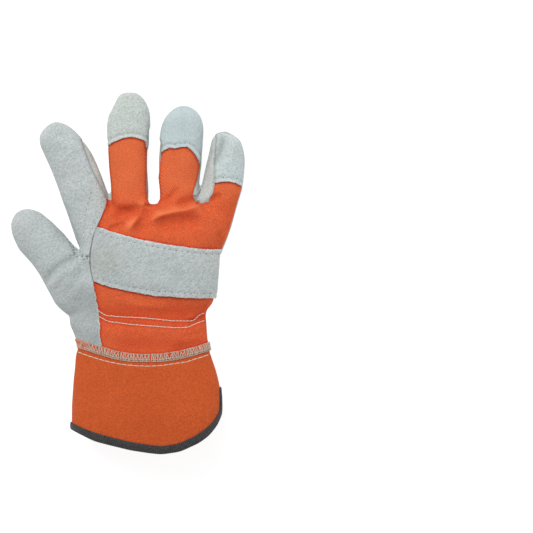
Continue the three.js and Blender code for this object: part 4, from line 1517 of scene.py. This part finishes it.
@dataclass
class Cuff:
    """The stiff cuff of rubberised cloth, with a slit on the little-finger side, and its binding.

    Attributes:
        hand: the hand that gives its width.
        cloth: finish of the cuff.
        tape: finish of the binding.
        wall: thickness of the cloth.
        tuck: how far the cuff's underside is drawn in.
        slit_height: height of the slit above the floor.
        slit_top: Y of the slit's upper end.
        slit_low: Y of the slit's lower end.
        slit_start: half width of the slit at its upper end.
        slit_spread: half width of the slit at its lower end.
        tape_width: how far the tape reaches onto the cloth.
        tape_wall: thickness of the tape.
        tape_step: distance between two of its rings.
        back_hem: the hem on the back.
        palm_hem: the hem on the palm side.
        whole: the cuff before its hem and slit are cut.
        skin: the cuff that is left, before it gets its wall.
    """

    hand: HandForm
    cloth: bpy.types.Material
    tape: bpy.types.Material
    wall: float = 1.2
    tuck: float = 1.3
    slit_height: float = 21.0
    slit_top: float = -29.0
    slit_low: float = -58.0
    slit_start: float = 1.2
    slit_spread: float = 8.0
    tape_width: float = 5.2
    tape_wall: float = 0.95
    tape_step: float = 0.85
    back_hem: Line = ((-140.0, -55.0), (-53.4, -56.9), (-34.8, -65.4), (-8.1, -71.8),
                      (6.0, -74.0), (15.0, -74.8), (28.0, -73.0), (41.8, -66.9), (49.2, -61.6),
                      (54.8, -54.8), (58.2, -47.5), (61.5, -38.0), (140.0, -33.0))
    palm_hem: Line = ((-140.0, -54.6), (-53.4, -56.0), (-34.8, -64.6), (-8.1, -71.4), (15.0, -73.6),
                      (29.0, -72.2), (39.4, -67.0), (46.4, -59.5), (51.0, -48.5), (53.4, -39.5),
                      (140.0, -34.0))
    skin: Optional[Skin] = None
    whole: Optional[Skin] = None

    def full_tube(self) -> Skin:
        """The cuff before its hem and slit are cut."""
        turn = np.linspace(0, 2 * math.pi, 300, endpoint=False)
        ys = np.arange(8.0, -86.0, -0.95)
        rings = [self.hand.ring(y, edges, turn, offset=-0.4, tuck=self.tuck)
                 for y, *edges in zip(ys, *self.hand.hand_row(ys))]
        count = len(turn)
        a = np.arange(count)
        b = (a + 1) % count
        faces = []
        for row in range(len(rings) - 1):
            low = row * count
            faces += [np.column_stack([low + a, low + count + b, low + b]),
                      np.column_stack([low + a, low + count + a, low + count + b])]
        points = np.vstack(rings)
        faces = np.vstack(faces)
        if point_normals(points, faces)[count // 4][2] < 0:
            faces = faces[:, ::-1]
        normals = point_normals(points, faces)
        wave = 0.55 * ripple(points, 60.0, 31) + 0.12 * ripple(points, 17.0, 32)
        points = points + normals * (wave * ease(points[:, 2], 3.0, 12.0))[:, None]
        return plain_skin(points, faces)

    def kept(self, whole: Skin) -> np.ndarray:
        """Distance inside the cuff's outline: from its hem, its slit and its seam.

        Args:
            whole: the uncut cuff.

        Returns:
            One distance for each point, positive where the cuff stays.
        """
        x, y, z = whole.points.T
        back = y - height_on(self.back_hem, x)
        palm = y - height_on(self.palm_hem, x)
        blend = ease(z, self.slit_height - 5.0, self.slit_height + 5.0)
        right = x > 20
        hem = np.where(right, np.where(z > self.slit_height, back, palm),
                       back * blend + palm * (1 - blend))
        half = np.interp(-y, [-self.slit_top, -self.slit_low], [self.slit_start, self.slit_spread])
        beside = np.abs(z - self.slit_height) - half
        slit = np.where(right, np.maximum(beside, y - self.slit_top), 99.0)
        seam = height_on(WRIST_SEAM, x) + 0.5 - y
        return least(hem * 0.92, slit, seam)

    def build(self) -> None:
        """Cuts the cuff and folds the tape round its edges."""
        self.whole = self.full_tube()
        keep = self.kept(self.whole)
        seam = height_on(WRIST_SEAM, self.whole.points[:, 0]) + 0.5 - self.whole.points[:, 1]
        lift = -0.5 * near(seam, 2.0) - 0.35 * near(seam - 6.0, 1.0)
        self.skin = self.whole.cut(keep, lift, np.zeros_like(keep)).largest()
        points, faces = self.skin.walled(self.wall)
        finished(Piece("cuff_cloth", self.cloth, "rubberised_cloth", ("cuff",)), points, faces,
                 points[:, :2])
        self.bind()

    def edge(self) -> np.ndarray:
        """The cuff's lower edge and slit as one smooth closed course."""
        rim = self.skin.rim()
        after = dict(rim.tolist())
        start = int(rim[np.argmin(self.skin.points[rim[:, 0], 1]), 0])
        loop = [start]
        while after[loop[-1]] != start:
            loop.append(after[loop[-1]])
        track = self.skin.points[[*loop, start]]
        runs = runs_of(track)
        even = read_at(np.arange(0, runs[-1], self.tape_step), runs, track)
        return smoothed(even, 16, closed=True)

    def channel(self) -> list[Point]:
        """The tape's section round the edge.

        Returns:
            Its corners: how far each lies onto the cloth, and how far off the middle of it.
        """
        half = self.wall / 2 + self.tape_wall + 0.1
        inner = self.wall / 2 + 0.1
        width = self.tape_width
        bend = [math.radians(angle) for angle in (75, 45, 15, -15, -45, -75)]
        return [
            (width, half - 0.35), (width - 0.5, half), (width * 0.6, half + 0.12),
            (width * 0.25, half + 0.05),
            *((-0.2 - half * 0.75 * math.cos(a), half * math.sin(a)) for a in bend),
            (width * 0.25, -half - 0.05), (width * 0.6, -half - 0.1), (width - 0.5, -half),
            (width, -half + 0.35),
            (width, -inner), (width * 0.5, -inner), (0.3, -inner),
            (0.3, inner), (width * 0.5, inner), (width, inner),
        ]

    def bind(self) -> None:
        """Sweeps the tape's channel along the edge."""
        tree = self.whole.tree()
        track = self.edge()
        course = unit(np.roll(track, -1, axis=0) - np.roll(track, 1, axis=0))
        normals = np.array([tree.find_nearest(Vector(p))[1] for p in track])
        normals = unit(smoothed(normals, 4, closed=True))
        inward = unit(np.cross(normals, course))
        inward *= np.sign(inward[np.argmin(track[:, 1]), 1])
        mid = -self.wall / 2
        profile = self.channel()
        rings = []
        at_slit = ease(track[:, 0], 40.0, 52.0)
        widths = np.interp(track[:, 1], [-66.0, -52.0], [1.0, 0.62]) * at_slit
        widths += 0.92 * (1 - at_slit)
        widths -= 0.18 * ease(-track[:, 0], 34.0, 50.0)
        widths += 0.045 * np.where(np.arange(len(track)) % 2, 1, -1)
        for p, into, normal, narrow in zip(track, inward, normals, widths):
            ring = []
            for run, out in profile:
                place = p + into * (run * narrow if run > 0.4 else run)
                if run > 0.4:
                    hit, face_normal = tree.find_nearest(Vector(place))[:2]
                    place = np.array(hit)
                    direction = np.array(face_normal) * 0.6 + normal * 0.4
                    direction /= np.linalg.norm(direction)
                else:
                    direction = normal
                ring.append(place + direction * (mid + out))
            rings.append(ring)
        rings = np.array(rings)
        rings[:, :, 2] = np.maximum(rings[:, :, 2], 0.03)
        count, around = rings.shape[:2]
        index = np.arange(count * around).reshape(count, around)
        a, b = index, np.roll(index, -1, axis=1)
        c, d = np.roll(b, -1, axis=0), np.roll(a, -1, axis=0)
        faces = np.stack([a, b, c, d], -1).reshape(-1, 4)
        points = rings.reshape(-1, 3)
        runs = np.repeat(np.arange(count) * self.tape_step, around)
        flow = np.column_stack([runs, np.tile(np.arange(around) * 0.8, count)])
        finished(Piece("hem_binding", self.tape, "binding_tape", ("binding",)), points,
                 outward(points, faces), flow, crease=60.0)


def outward(points: np.ndarray, faces: np.ndarray) -> np.ndarray:
    """Turns the faces of a closed mesh so that they point outwards.

    Args:
        points: the mesh's points.
        faces: its faces, of four corners each.

    Returns:
        The faces.
    """
    halves = np.vstack([faces[:, [0, 1, 2]], faces[:, [0, 2, 3]]])
    a, b, c = (points[halves[:, k]] for k in range(3))
    return faces if np.einsum("ij,ij->i", a, np.cross(b, c)).sum() > 0 else faces[:, ::-1]


# --- Sewing ---


@dataclass
class Sewing:
    """Threads laid on the panels, and the overlocked seam round the wrist.

    Attributes:
        panels: the panels that are sewn.
        cuff: the cuff.
        thread: finish of the thread.
        waxed: finish of the overlock's thread.
        dark: finish of the dark dots that paint the shade in the stitch holes, and deep in a
            crotch.
        yarn: finish of loose fibres of the cloth.
        band: width of the overlocked seam allowance.
        loft: how far the seam allowance stands up.
        overlock_pitch: distance between two strands of the overlock.
        loose: how many fibres have come loose from it.
    """

    panels: Panels
    cuff: Cuff
    thread: bpy.types.Material
    waxed: bpy.types.Material
    dark: bpy.types.Material
    yarn: bpy.types.Material
    band: float = 6.2
    loft: float = 1.0
    overlock_pitch: float = 2.5
    loose: int = 150

    def build(self) -> None:
        """Sews everything, row by row."""
        cloth = self.panels.trees["back_cloth_twill"]
        strap = self.panels.trees["strap_leather"]
        elastic = [track for k, line in enumerate(ELASTIC_ROWS)
                   for track in self.row(cloth, line, 2.6, 0.98, 0.34, 0.3, seed=3 + k)]
        self.lay(Piece("elastic_stitches", self.thread, "cotton_twill"), elastic, 0.34)
        run = self.row(self.cuff.skin.tree(), WRIST_RUN[1:-1], 4.4, 0.94, 0.25, 0.4, seed=9)
        self.lay(Piece("wrist_run_stitches", self.thread, "rubberised_cloth"), run, 0.33)
        # Dark dots paint the shade in the leather's stitch holes, and a dark line the shade deep in
        # the crotch of ring and little finger.
        holes = []
        for line in (STRAP_TOP[1:-1], STRAP_BOTTOM[1:]):
            holes += self.row(strap, beside(line, -3.4), 4.6, 0.22, -0.04, 0.2, seed=11)
        for name, line in TIP_LINES.items():
            tree = self.panels.trees[f"tip_{name}_leather"]
            if name != "middle":
                middle = line[len(line) // 3 : -len(line) // 3]
                holes += self.row(tree, beside(middle, 3.0), 3.4, 0.24, -0.05, 0.2, seed=12)
        crotch = self.panels.trees["fork_strip_ring_little"]
        holes += self.row(crotch, CROTCH_SHADE_LINE, 2.6, 0.96, -0.1, 0.0, seed=19)
        index = self.panels.trees["index_back_leather"]
        for line in (INDEX_SEAM, beside(CLOTH_EDGE[2:9], -2.6)):
            holes += self.row(index, line, 4.2, 0.22, -0.05, 0.2, seed=13)
        self.lay(Piece("stitch_hole_shade", self.dark, "leather"), holes, 0.36, taper=0.7)
        palm = self.panels.trees["palm_leather"]
        patch = [track for line in (beside(PATCH[1:-1], 3.2), beside(PATCH[1:-1], 5.8), PATCH_RUN)
                 for track in self.row(palm, line, 3.0, 0.6, 0.14, 0.5, Face.PALM, 17)]
        self.lay(Piece("patch_stitches", self.thread, "leather"), patch, 0.36)
        self.overlock()
        self.fuzz()

    def wrist_course(self) -> tuple[np.ndarray, np.ndarray]:
        """The seam round the wrist, laid on the panels.

        Returns:
            Places and outward directions, first along the seam, SEAM_STEP apart, then across it.
        """
        names = ("palm_leather", "thumb_back_leather", "back_cloth_twill")
        skins = [*(self.panels.skins[name] for name in names), self.cuff.skin]
        points, faces = joined((skin.outside(), skin.faces) for skin in skins)
        tree = BVHTree.FromPolygons(points.tolist(), faces.tolist())
        turn = np.linspace(math.pi + math.radians(60), -math.radians(27), 900)
        edges = [column[0] for column in self.cuff.hand.hand_row(np.zeros(1))]
        flat = self.cuff.hand.ring(0.0, edges, turn)
        flat[:, 1] = height_on(WRIST_SEAM, flat[:, 0])
        course = evened(flat, SEAM_STEP)
        across = np.linspace(self.band / 2, -self.band / 2, 9)
        places = np.empty((len(course), len(across), 3))
        normals = np.empty_like(places)
        for i, spot in enumerate(course):
            for k, shift in enumerate(across):
                hit, normal = tree.find_nearest(Vector((spot[0], spot[1] + shift, spot[2])))[:2]
                outwards = np.array([spot[0], 0.0, spot[2] - 17.0])
                normal = np.array(normal)
                places[i, k] = hit
                normals[i, k] = normal if normal @ outwards > 0 else -normal
        return smoothed(places, 6), unit(smoothed(normals, 6))

    def overlock(self) -> None:
        """Lays the seam allowance, its strands, its two chains and its loose fibres."""
        places, normals = self.wrist_course()
        count, wide = places.shape[:2]
        share = np.abs(np.linspace(-1, 1, wide))
        height = self.loft * (1 - share**4)[None, :, None]
        draw = np.random.default_rng(41)
        uneven = 1 + 0.15 * ripple(np.arange(count)[:, None].astype(float), 16.0, 42)[:, None, None]
        low_end = ease(np.arange(count) / count, 0.16, 0.30)[:, None, None]
        face = places + normals * (height * uneven * (0.3 + 0.7 * low_end) + 0.1)
        index = np.arange(count * wide).reshape(count, wide)
        a, b, c, d = (block.ravel() for block in (index[:-1, :-1], index[1:, :-1],
                                                  index[1:, 1:], index[:-1, 1:]))
        faces = np.vstack([np.column_stack([a, b, c]), np.column_stack([a, c, d])])
        points = face.reshape(-1, 3)
        if (point_normals(points, faces) * normals.reshape(-1, 3)).sum() < 0:
            faces = faces[:, ::-1]
        body, sides = plain_skin(points, faces, normals.reshape(-1, 3)).walled(1.3)
        flow = np.column_stack([np.repeat(np.arange(count) * SEAM_STEP, wide),
                                np.tile(np.arange(wide) * 0.78, count)])
        # The allowance's twill is darkened throughout by painted shade.
        finished(Piece("wrist_seam_allowance", self.panels.twill, "cotton_twill"), body, sides,
                 np.tile(flow, (2, 1)), np.full(len(body), -0.6))

        def spot(run: float, over: float, proud: float) -> np.ndarray:
            """A place on the allowance.

            Args:
                run: how far along it.
                over: where across it, from -1 to 1.
                proud: how far above it.

            Returns:
                The place.
            """
            i = float(np.clip(run / SEAM_STEP, 0, count - 1.001))
            k = float(np.clip((1 - over) / 2 * (wide - 1), 0, wide - 1.001))
            row, column = int(i), int(k)
            on, off = i - row, k - column

            def between(grid: np.ndarray) -> np.ndarray:
                """What a grid holds there, between its four nearest places."""
                first = grid[row, column] * (1 - on) + grid[row + 1, column] * on
                second = grid[row, column + 1] * (1 - on) + grid[row + 1, column + 1] * on
                return first * (1 - off) + second * off

            return between(face) + between(normals) * proud

        length = (count - 1) * SEAM_STEP
        strands, chains = [], []
        for n in range(int(length / self.overlock_pitch)):
            run = n * self.overlock_pitch + draw.normal(0, 0.2)
            for start, lean in ((run, draw.normal(0.35, 0.45)),
                                (run + 1.2, draw.normal(-0.5, 0.45))):
                reach = 1.0 + draw.normal(0, 0.06)
                strands.append(np.array([
                    spot(start + lean * over * 1.3, over * reach,
                         0.26 - 0.5 * max(abs(over) - 0.85, 0) * 4)
                    for over in (-1.0, -0.72, -0.3, 0.15, 0.6, 0.85, 1.0)]))
            for edge, beat in ((-0.97, 2.0), (-0.56, 1.4), (0.93, 1.6)):
                chains.append(np.array([
                    spot(run + step * 0.65, edge + 0.12 * math.sin(step * beat + n), 0.42)
                    for step in range(-1, 4)]))
        self.lay(Piece("overlock_strands", self.waxed, "cotton_twill"), strands, 0.33)
        self.lay(Piece("overlock_chains", self.waxed, "cotton_twill"), chains, 0.34)
        fibres = []
        for _ in range(self.loose):
            left_end = draw.random() < 0.8
            run = draw.uniform(*((0.13, 0.30) if left_end else (0.1, 0.92))) * length
            over = draw.uniform(-0.4, 1.25) if left_end else draw.uniform(0.8, 1.1)
            course, bend = draw.uniform(0, 2 * math.pi), draw.normal(0, 0.5)
            track, u, v = [], run, over
            for step in range(6):
                track.append(spot(u, v, 0.35 + 0.25 * math.sin(step * 0.8)))
                u += 0.75 * math.cos(course)
                v += 0.22 * math.sin(course)
                course += bend
            fibres.append(np.array(track))
        self.lay(Piece("loose_yarn", self.yarn, "cotton_twill"), fibres, 0.15, sides=4)

    def fuzz(self) -> None:
        """Short pale fibres along the raw edges of the leather."""
        draw = np.random.default_rng(57)
        edges = [(STRAP_TOP[1:-1], "strap_leather", 1), (STRAP_BOTTOM[1:], "strap_leather", 1),
                 (CLOTH_EDGE[2:8], "index_back_leather", 1),
                 (CLOTH_EDGE[13:20], "thumb_back_leather", 1)]
        edges += [(line, f"tip_{name}_leather", -1) for name, line in TIP_LINES.items()]
        fibres = []
        for line, name, side in edges:
            tree = self.panels.trees[name]
            stops = evened(line, 0.55)
            for spot, ahead in zip(stops, stops[1:]):
                course = (ahead - spot) / np.linalg.norm(ahead - spot)
                out = np.array([-course[1], course[0]]) * side
                hit, normal = struck(tree, spot - out * 0.5)
                if hit is None:
                    continue
                lean = course * draw.normal(0, 0.5) + out * draw.uniform(0.3, 1.0)
                reach = draw.uniform(0.5, 1.3)
                fibres.append(np.array([
                    hit + normal * (0.05 - 0.25 * t) + np.array([*(lean * reach * t), 0.0])
                    for t in (0.0, 0.5, 1.0)]))
        self.lay(Piece("raw_edge_fibres", self.panels.suede["tip_ring"], "leather"), fibres, 0.10,
                 sides=4, taper=0.4)

    def strands(self, tracks: Sequence[np.ndarray], radius: float, sides: int = 5,
                taper: float = 0.6) -> tuple[np.ndarray, np.ndarray]:
        """Round threads along tracks, thinner at their ends.

        Args:
            tracks: points along each thread.
            radius: the thread's radius.
            sides: corners of its section.
            taper: its ends' share of the radius.

        Returns:
            Points and faces of all threads.
        """
        points, faces, count = [], [], 0
        turn = np.linspace(0, 2 * math.pi, sides, endpoint=False)
        for track in tracks:
            course = unit(np.gradient(track, axis=0))
            up = np.tile([0.0, 0.0, 1.0], (len(track), 1))
            steep = np.abs(course[:, 2]) > 0.9
            up[steep] = [1.0, 0.0, 0.0]
            left = unit(np.cross(up, course))
            over = np.cross(course, left)
            thick = np.full(len(track), radius)
            thick[0] = thick[-1] = radius * taper
            ring = (left[:, None, :] * np.cos(turn)[None, :, None]
                    + over[:, None, :] * np.sin(turn)[None, :, None])
            body = track[:, None, :] + ring * thick[:, None, None]
            rows = len(track)
            index = np.arange(rows * sides).reshape(rows, sides) + count
            a, b = index[:-1], np.roll(index, -1, axis=1)[:-1]
            c, d = np.roll(index, -1, axis=1)[1:], index[1:]
            points += [body.reshape(-1, 3), track[:1], track[-1:]]
            first, last = count + rows * sides, count + rows * sides + 1
            low, high = index[0], index[-1]
            faces += np.stack([a, b, c, d], -1).reshape(-1, 4).tolist()
            faces += [[first, int(np.roll(low, -1)[k]), int(low[k])] for k in range(sides)]
            faces += [[last, int(high[k]), int(np.roll(high, -1)[k])] for k in range(sides)]
            count += rows * sides + 2
        return np.vstack(points), faces

    def lay(self, piece: Piece, tracks: Sequence[np.ndarray], radius: float, sides: int = 5,
            taper: float = 0.6) -> None:
        """Makes one piece of threads.

        Args:
            piece: what it is.
            tracks: points along each thread.
            radius: the thread's radius.
            sides: corners of its section.
            taper: its ends' share of the radius.
        """
        points, faces = self.strands(tracks, radius, sides, taper)
        points[:, 2] = np.maximum(points[:, 2], 0.05)
        finished(piece, points, faces, crease=70.0)

    def row(self, tree: BVHTree, line: Sequence[Point], pitch: float, share: float, proud: float,
            sag: float, face: Face = Face.BACK, seed: int = 1) -> list[np.ndarray]:
        """Tracks of a row of stitches on a face.

        Args:
            tree: the face it is sewn on.
            line: its course in plan.
            pitch: distance from stitch to stitch.
            share: a stitch's length as a share of the pitch.
            proud: how far the thread's middle stands off the face.
            sag: how far its ends dive.
            face: the side it is on.
            seed: of its small unevenness.

        Returns:
            A track for each stitch.
        """
        draw = np.random.default_rng(seed)
        stops = evened(line, pitch)
        tracks = []
        for a, b in zip(stops, stops[1:]):
            track = []
            wobble = draw.normal(0, 0.06, 2)
            for t in np.linspace(0.5 - share / 2, 0.5 + share / 2, 4):
                place = a + (b - a) * t + wobble
                hit, normal = struck(tree, place, face)
                if hit is None:
                    break
                dive = proud - sag * (2 * abs(t - 0.5) / share) ** 2
                track.append(hit + normal * dive)
            if len(track) == 4:
                tracks.append(np.array(track))
        return tracks


def beside(line: Sequence[Point], shift: float) -> list[Point]:
    """A line in plan moved sideways.

    Args:
        line: the line's corners.
        shift: how far, positive to the left of its course.

    Returns:
        The moved line.
    """
    corners = evened(line, 1.5)
    course = unit(np.gradient(corners, axis=0))
    moved = corners + shift * np.column_stack([-course[:, 1], course[:, 0]])
    return [tuple(corner) for corner in moved]


def struck(tree: BVHTree, place: Sequence[float], face: Face = Face.BACK
           ) -> tuple[Optional[np.ndarray], Optional[np.ndarray]]:
    """Where a plumb line meets a panel.

    Args:
        tree: the panel's outer face.
        place: the plumb line's place in plan.
        face: the side that it comes from.

    Returns:
        The point that is met and the outward direction there, or None twice.
    """
    start = Vector((place[0], place[1], 90.0 * face.value))
    hit, normal, _, _ = tree.ray_cast(start, Vector((0, 0, -face.value)))
    if hit is None:
        return None, None
    return np.array(hit), np.array(normal) * (1 if normal.z * face.value > 0 else -1)


# --- Studio ---


@dataclass
class Studio:
    """Pale floor, soft light and the camera straight above the photograph's middle.

    Attributes:
        middle: the middle of the view in plan, in millimetres.
        width: how wide the view is at the glove's level.
        lens: focal length.
        sensor: width of the sensor.
        level: height that the view's width is measured at.
        sky: strength of the light from all round.
        lamp: power of the broad lamp.
        fill: power of the lamp at the little finger's side.
    """

    middle: Point = (104.7, 6.0)
    width: float = 400.0
    lens: float = 300.0
    sensor: float = 36.0
    level: float = 12.0
    sky: float = 0.50
    lamp: float = 19.3
    fill: float = 5.0

    def build(self) -> None:
        """Sets the studio up."""
        scene = bpy.context.scene
        scene.view_settings.view_transform = "Standard"
        scene.view_settings.look = "None"
        world = bpy.data.worlds.new("studio")
        scene.world = world
        world.use_nodes = True
        put(world.node_tree.nodes["Background"], Color=(1.0, 1.0, 1.0, 1.0), Strength=self.sky)
        self.floor()
        self.lamps()
        camera = bpy.data.objects.new("camera", bpy.data.cameras.new("camera"))
        scene.collection.objects.link(camera)
        camera.data.lens = self.lens
        camera.data.sensor_width = self.sensor
        distance = self.width * self.lens / self.sensor
        camera.location = (self.middle[0] * MM, self.middle[1] * MM, (distance + self.level) * MM)
        camera.data.clip_end = 20.0
        scene.camera = camera

    def floor(self) -> None:
        """A pale floor that glows a little, as a light table does."""
        bpy.ops.object.select_all(action="DESELECT")
        bpy.ops.mesh.primitive_plane_add(size=6.0, location=(0, 0, 0))
        floor = bpy.context.active_object
        floor.name = "floor"
        material = bpy.data.materials.new("pale_floor")
        material.use_nodes = True
        put(material.node_tree.nodes["Principled BSDF"], Base_Color=(0.32, 0.32, 0.32, 1.0),
            Roughness=1.0, Specular_IOR_Level=0.0, Emission_Color=(1.0, 1.0, 1.0, 1.0),
            Emission_Strength=0.84)
        floor.data.materials.append(material)

    def lamps(self) -> None:
        """A broad soft lamp above the fingers, and a weak one at the little finger's side."""
        for name, place, energy in (("broad_lamp", (-0.50, 0.95, 1.25), self.lamp),
                                    ("side_lamp", (1.50, 0.00, 0.40), self.fill)):
            light = bpy.data.lights.new(name, "AREA")
            light.shape = "RECTANGLE"
            light.size = 1.3
            light.size_y = 0.9
            light.energy = energy
            lamp = bpy.data.objects.new(name, light)
            bpy.context.scene.collection.objects.link(lamp)
            lamp.location = place
            direction = Vector((0, 0, 0)) - lamp.location
            lamp.rotation_euler = direction.to_track_quat("-Z", "Y").to_euler()


LEATHERS: tuple[Suede, ...] = (
    Suede("palm", (0.560, 0.600, 0.585), (0.475, 0.510, 0.495), (0.56, 0.55, 0.49), 1.2,
          nap=0.00030),
    Suede("index", (0.530, 0.577, 0.572), (0.450, 0.495, 0.490), (0.53, 0.535, 0.49)),
    Suede("thumb", (0.503, 0.547, 0.547), (0.427, 0.470, 0.465), (0.495, 0.505, 0.475)),
    Suede("strap", (0.526, 0.571, 0.571), (0.441, 0.483, 0.481), (0.535, 0.535, 0.475), 2.2, 0.68,
          (-0.0157, 0.0124)),
    Suede("strip", (0.575, 0.605, 0.585), (0.500, 0.528, 0.508), (0.56, 0.56, 0.51), 1.2, 0.5),
    Suede("tip_middle", (0.560, 0.608, 0.583), (0.482, 0.528, 0.498), (0.55, 0.555, 0.48), 1.4),
    Suede("tip_ring", (0.540, 0.627, 0.638), (0.468, 0.549, 0.560), (0.53, 0.585, 0.565), 1.0,
          0.34),
    Suede("tip_little", (0.582, 0.658, 0.658), (0.496, 0.569, 0.569), (0.575, 0.61, 0.565)),
)


def main() -> None:
    """Builds the glove in order."""
    logging.basicConfig(level=logging.INFO, format="%(name)s %(message)s", stream=sys.stdout)
    suede = {leather.name: leather.material() for leather in LEATHERS}
    twill = Twill("orange_twill", (0.905, 0.165, 0.058), (0.662, 0.088, 0.030),
                  (0.793, 0.124, 0.043)).material()
    rubber = RubberCloth("rubberised_cloth", (0.620, 0.106, 0.024), (0.540, 0.083, 0.017),
                         (0.640, 0.148, 0.050)).material()
    tape = Tape("dark_tape", (0.019, 0.019, 0.020), (0.078, 0.077, 0.076)).material()
    thread = Thread("pale_thread", (0.80, 0.68, 0.56), (0.58, 0.45, 0.34)).material()
    waxed = Thread("overlock_thread", (0.59, 0.52, 0.42), (0.34, 0.27, 0.21)).material()
    dark = Thread("painted_hole_shade", (0.17, 0.18, 0.18), (0.10, 0.11, 0.11)).material()
    orange = Thread("orange_yarn", (0.80, 0.20, 0.07), (0.62, 0.11, 0.04)).material()

    hand = HandForm()
    form = hand.build()
    log.info("form: %d faces", len(form.faces))
    panels = Panels(form, suede, twill)
    panels.build()
    cuff = Cuff(hand, rubber, tape)
    cuff.build()

    Sewing(panels, cuff, thread, waxed, dark, orange).build()
    Studio().build()
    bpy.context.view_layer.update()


if __name__ == "__main__":
    main()
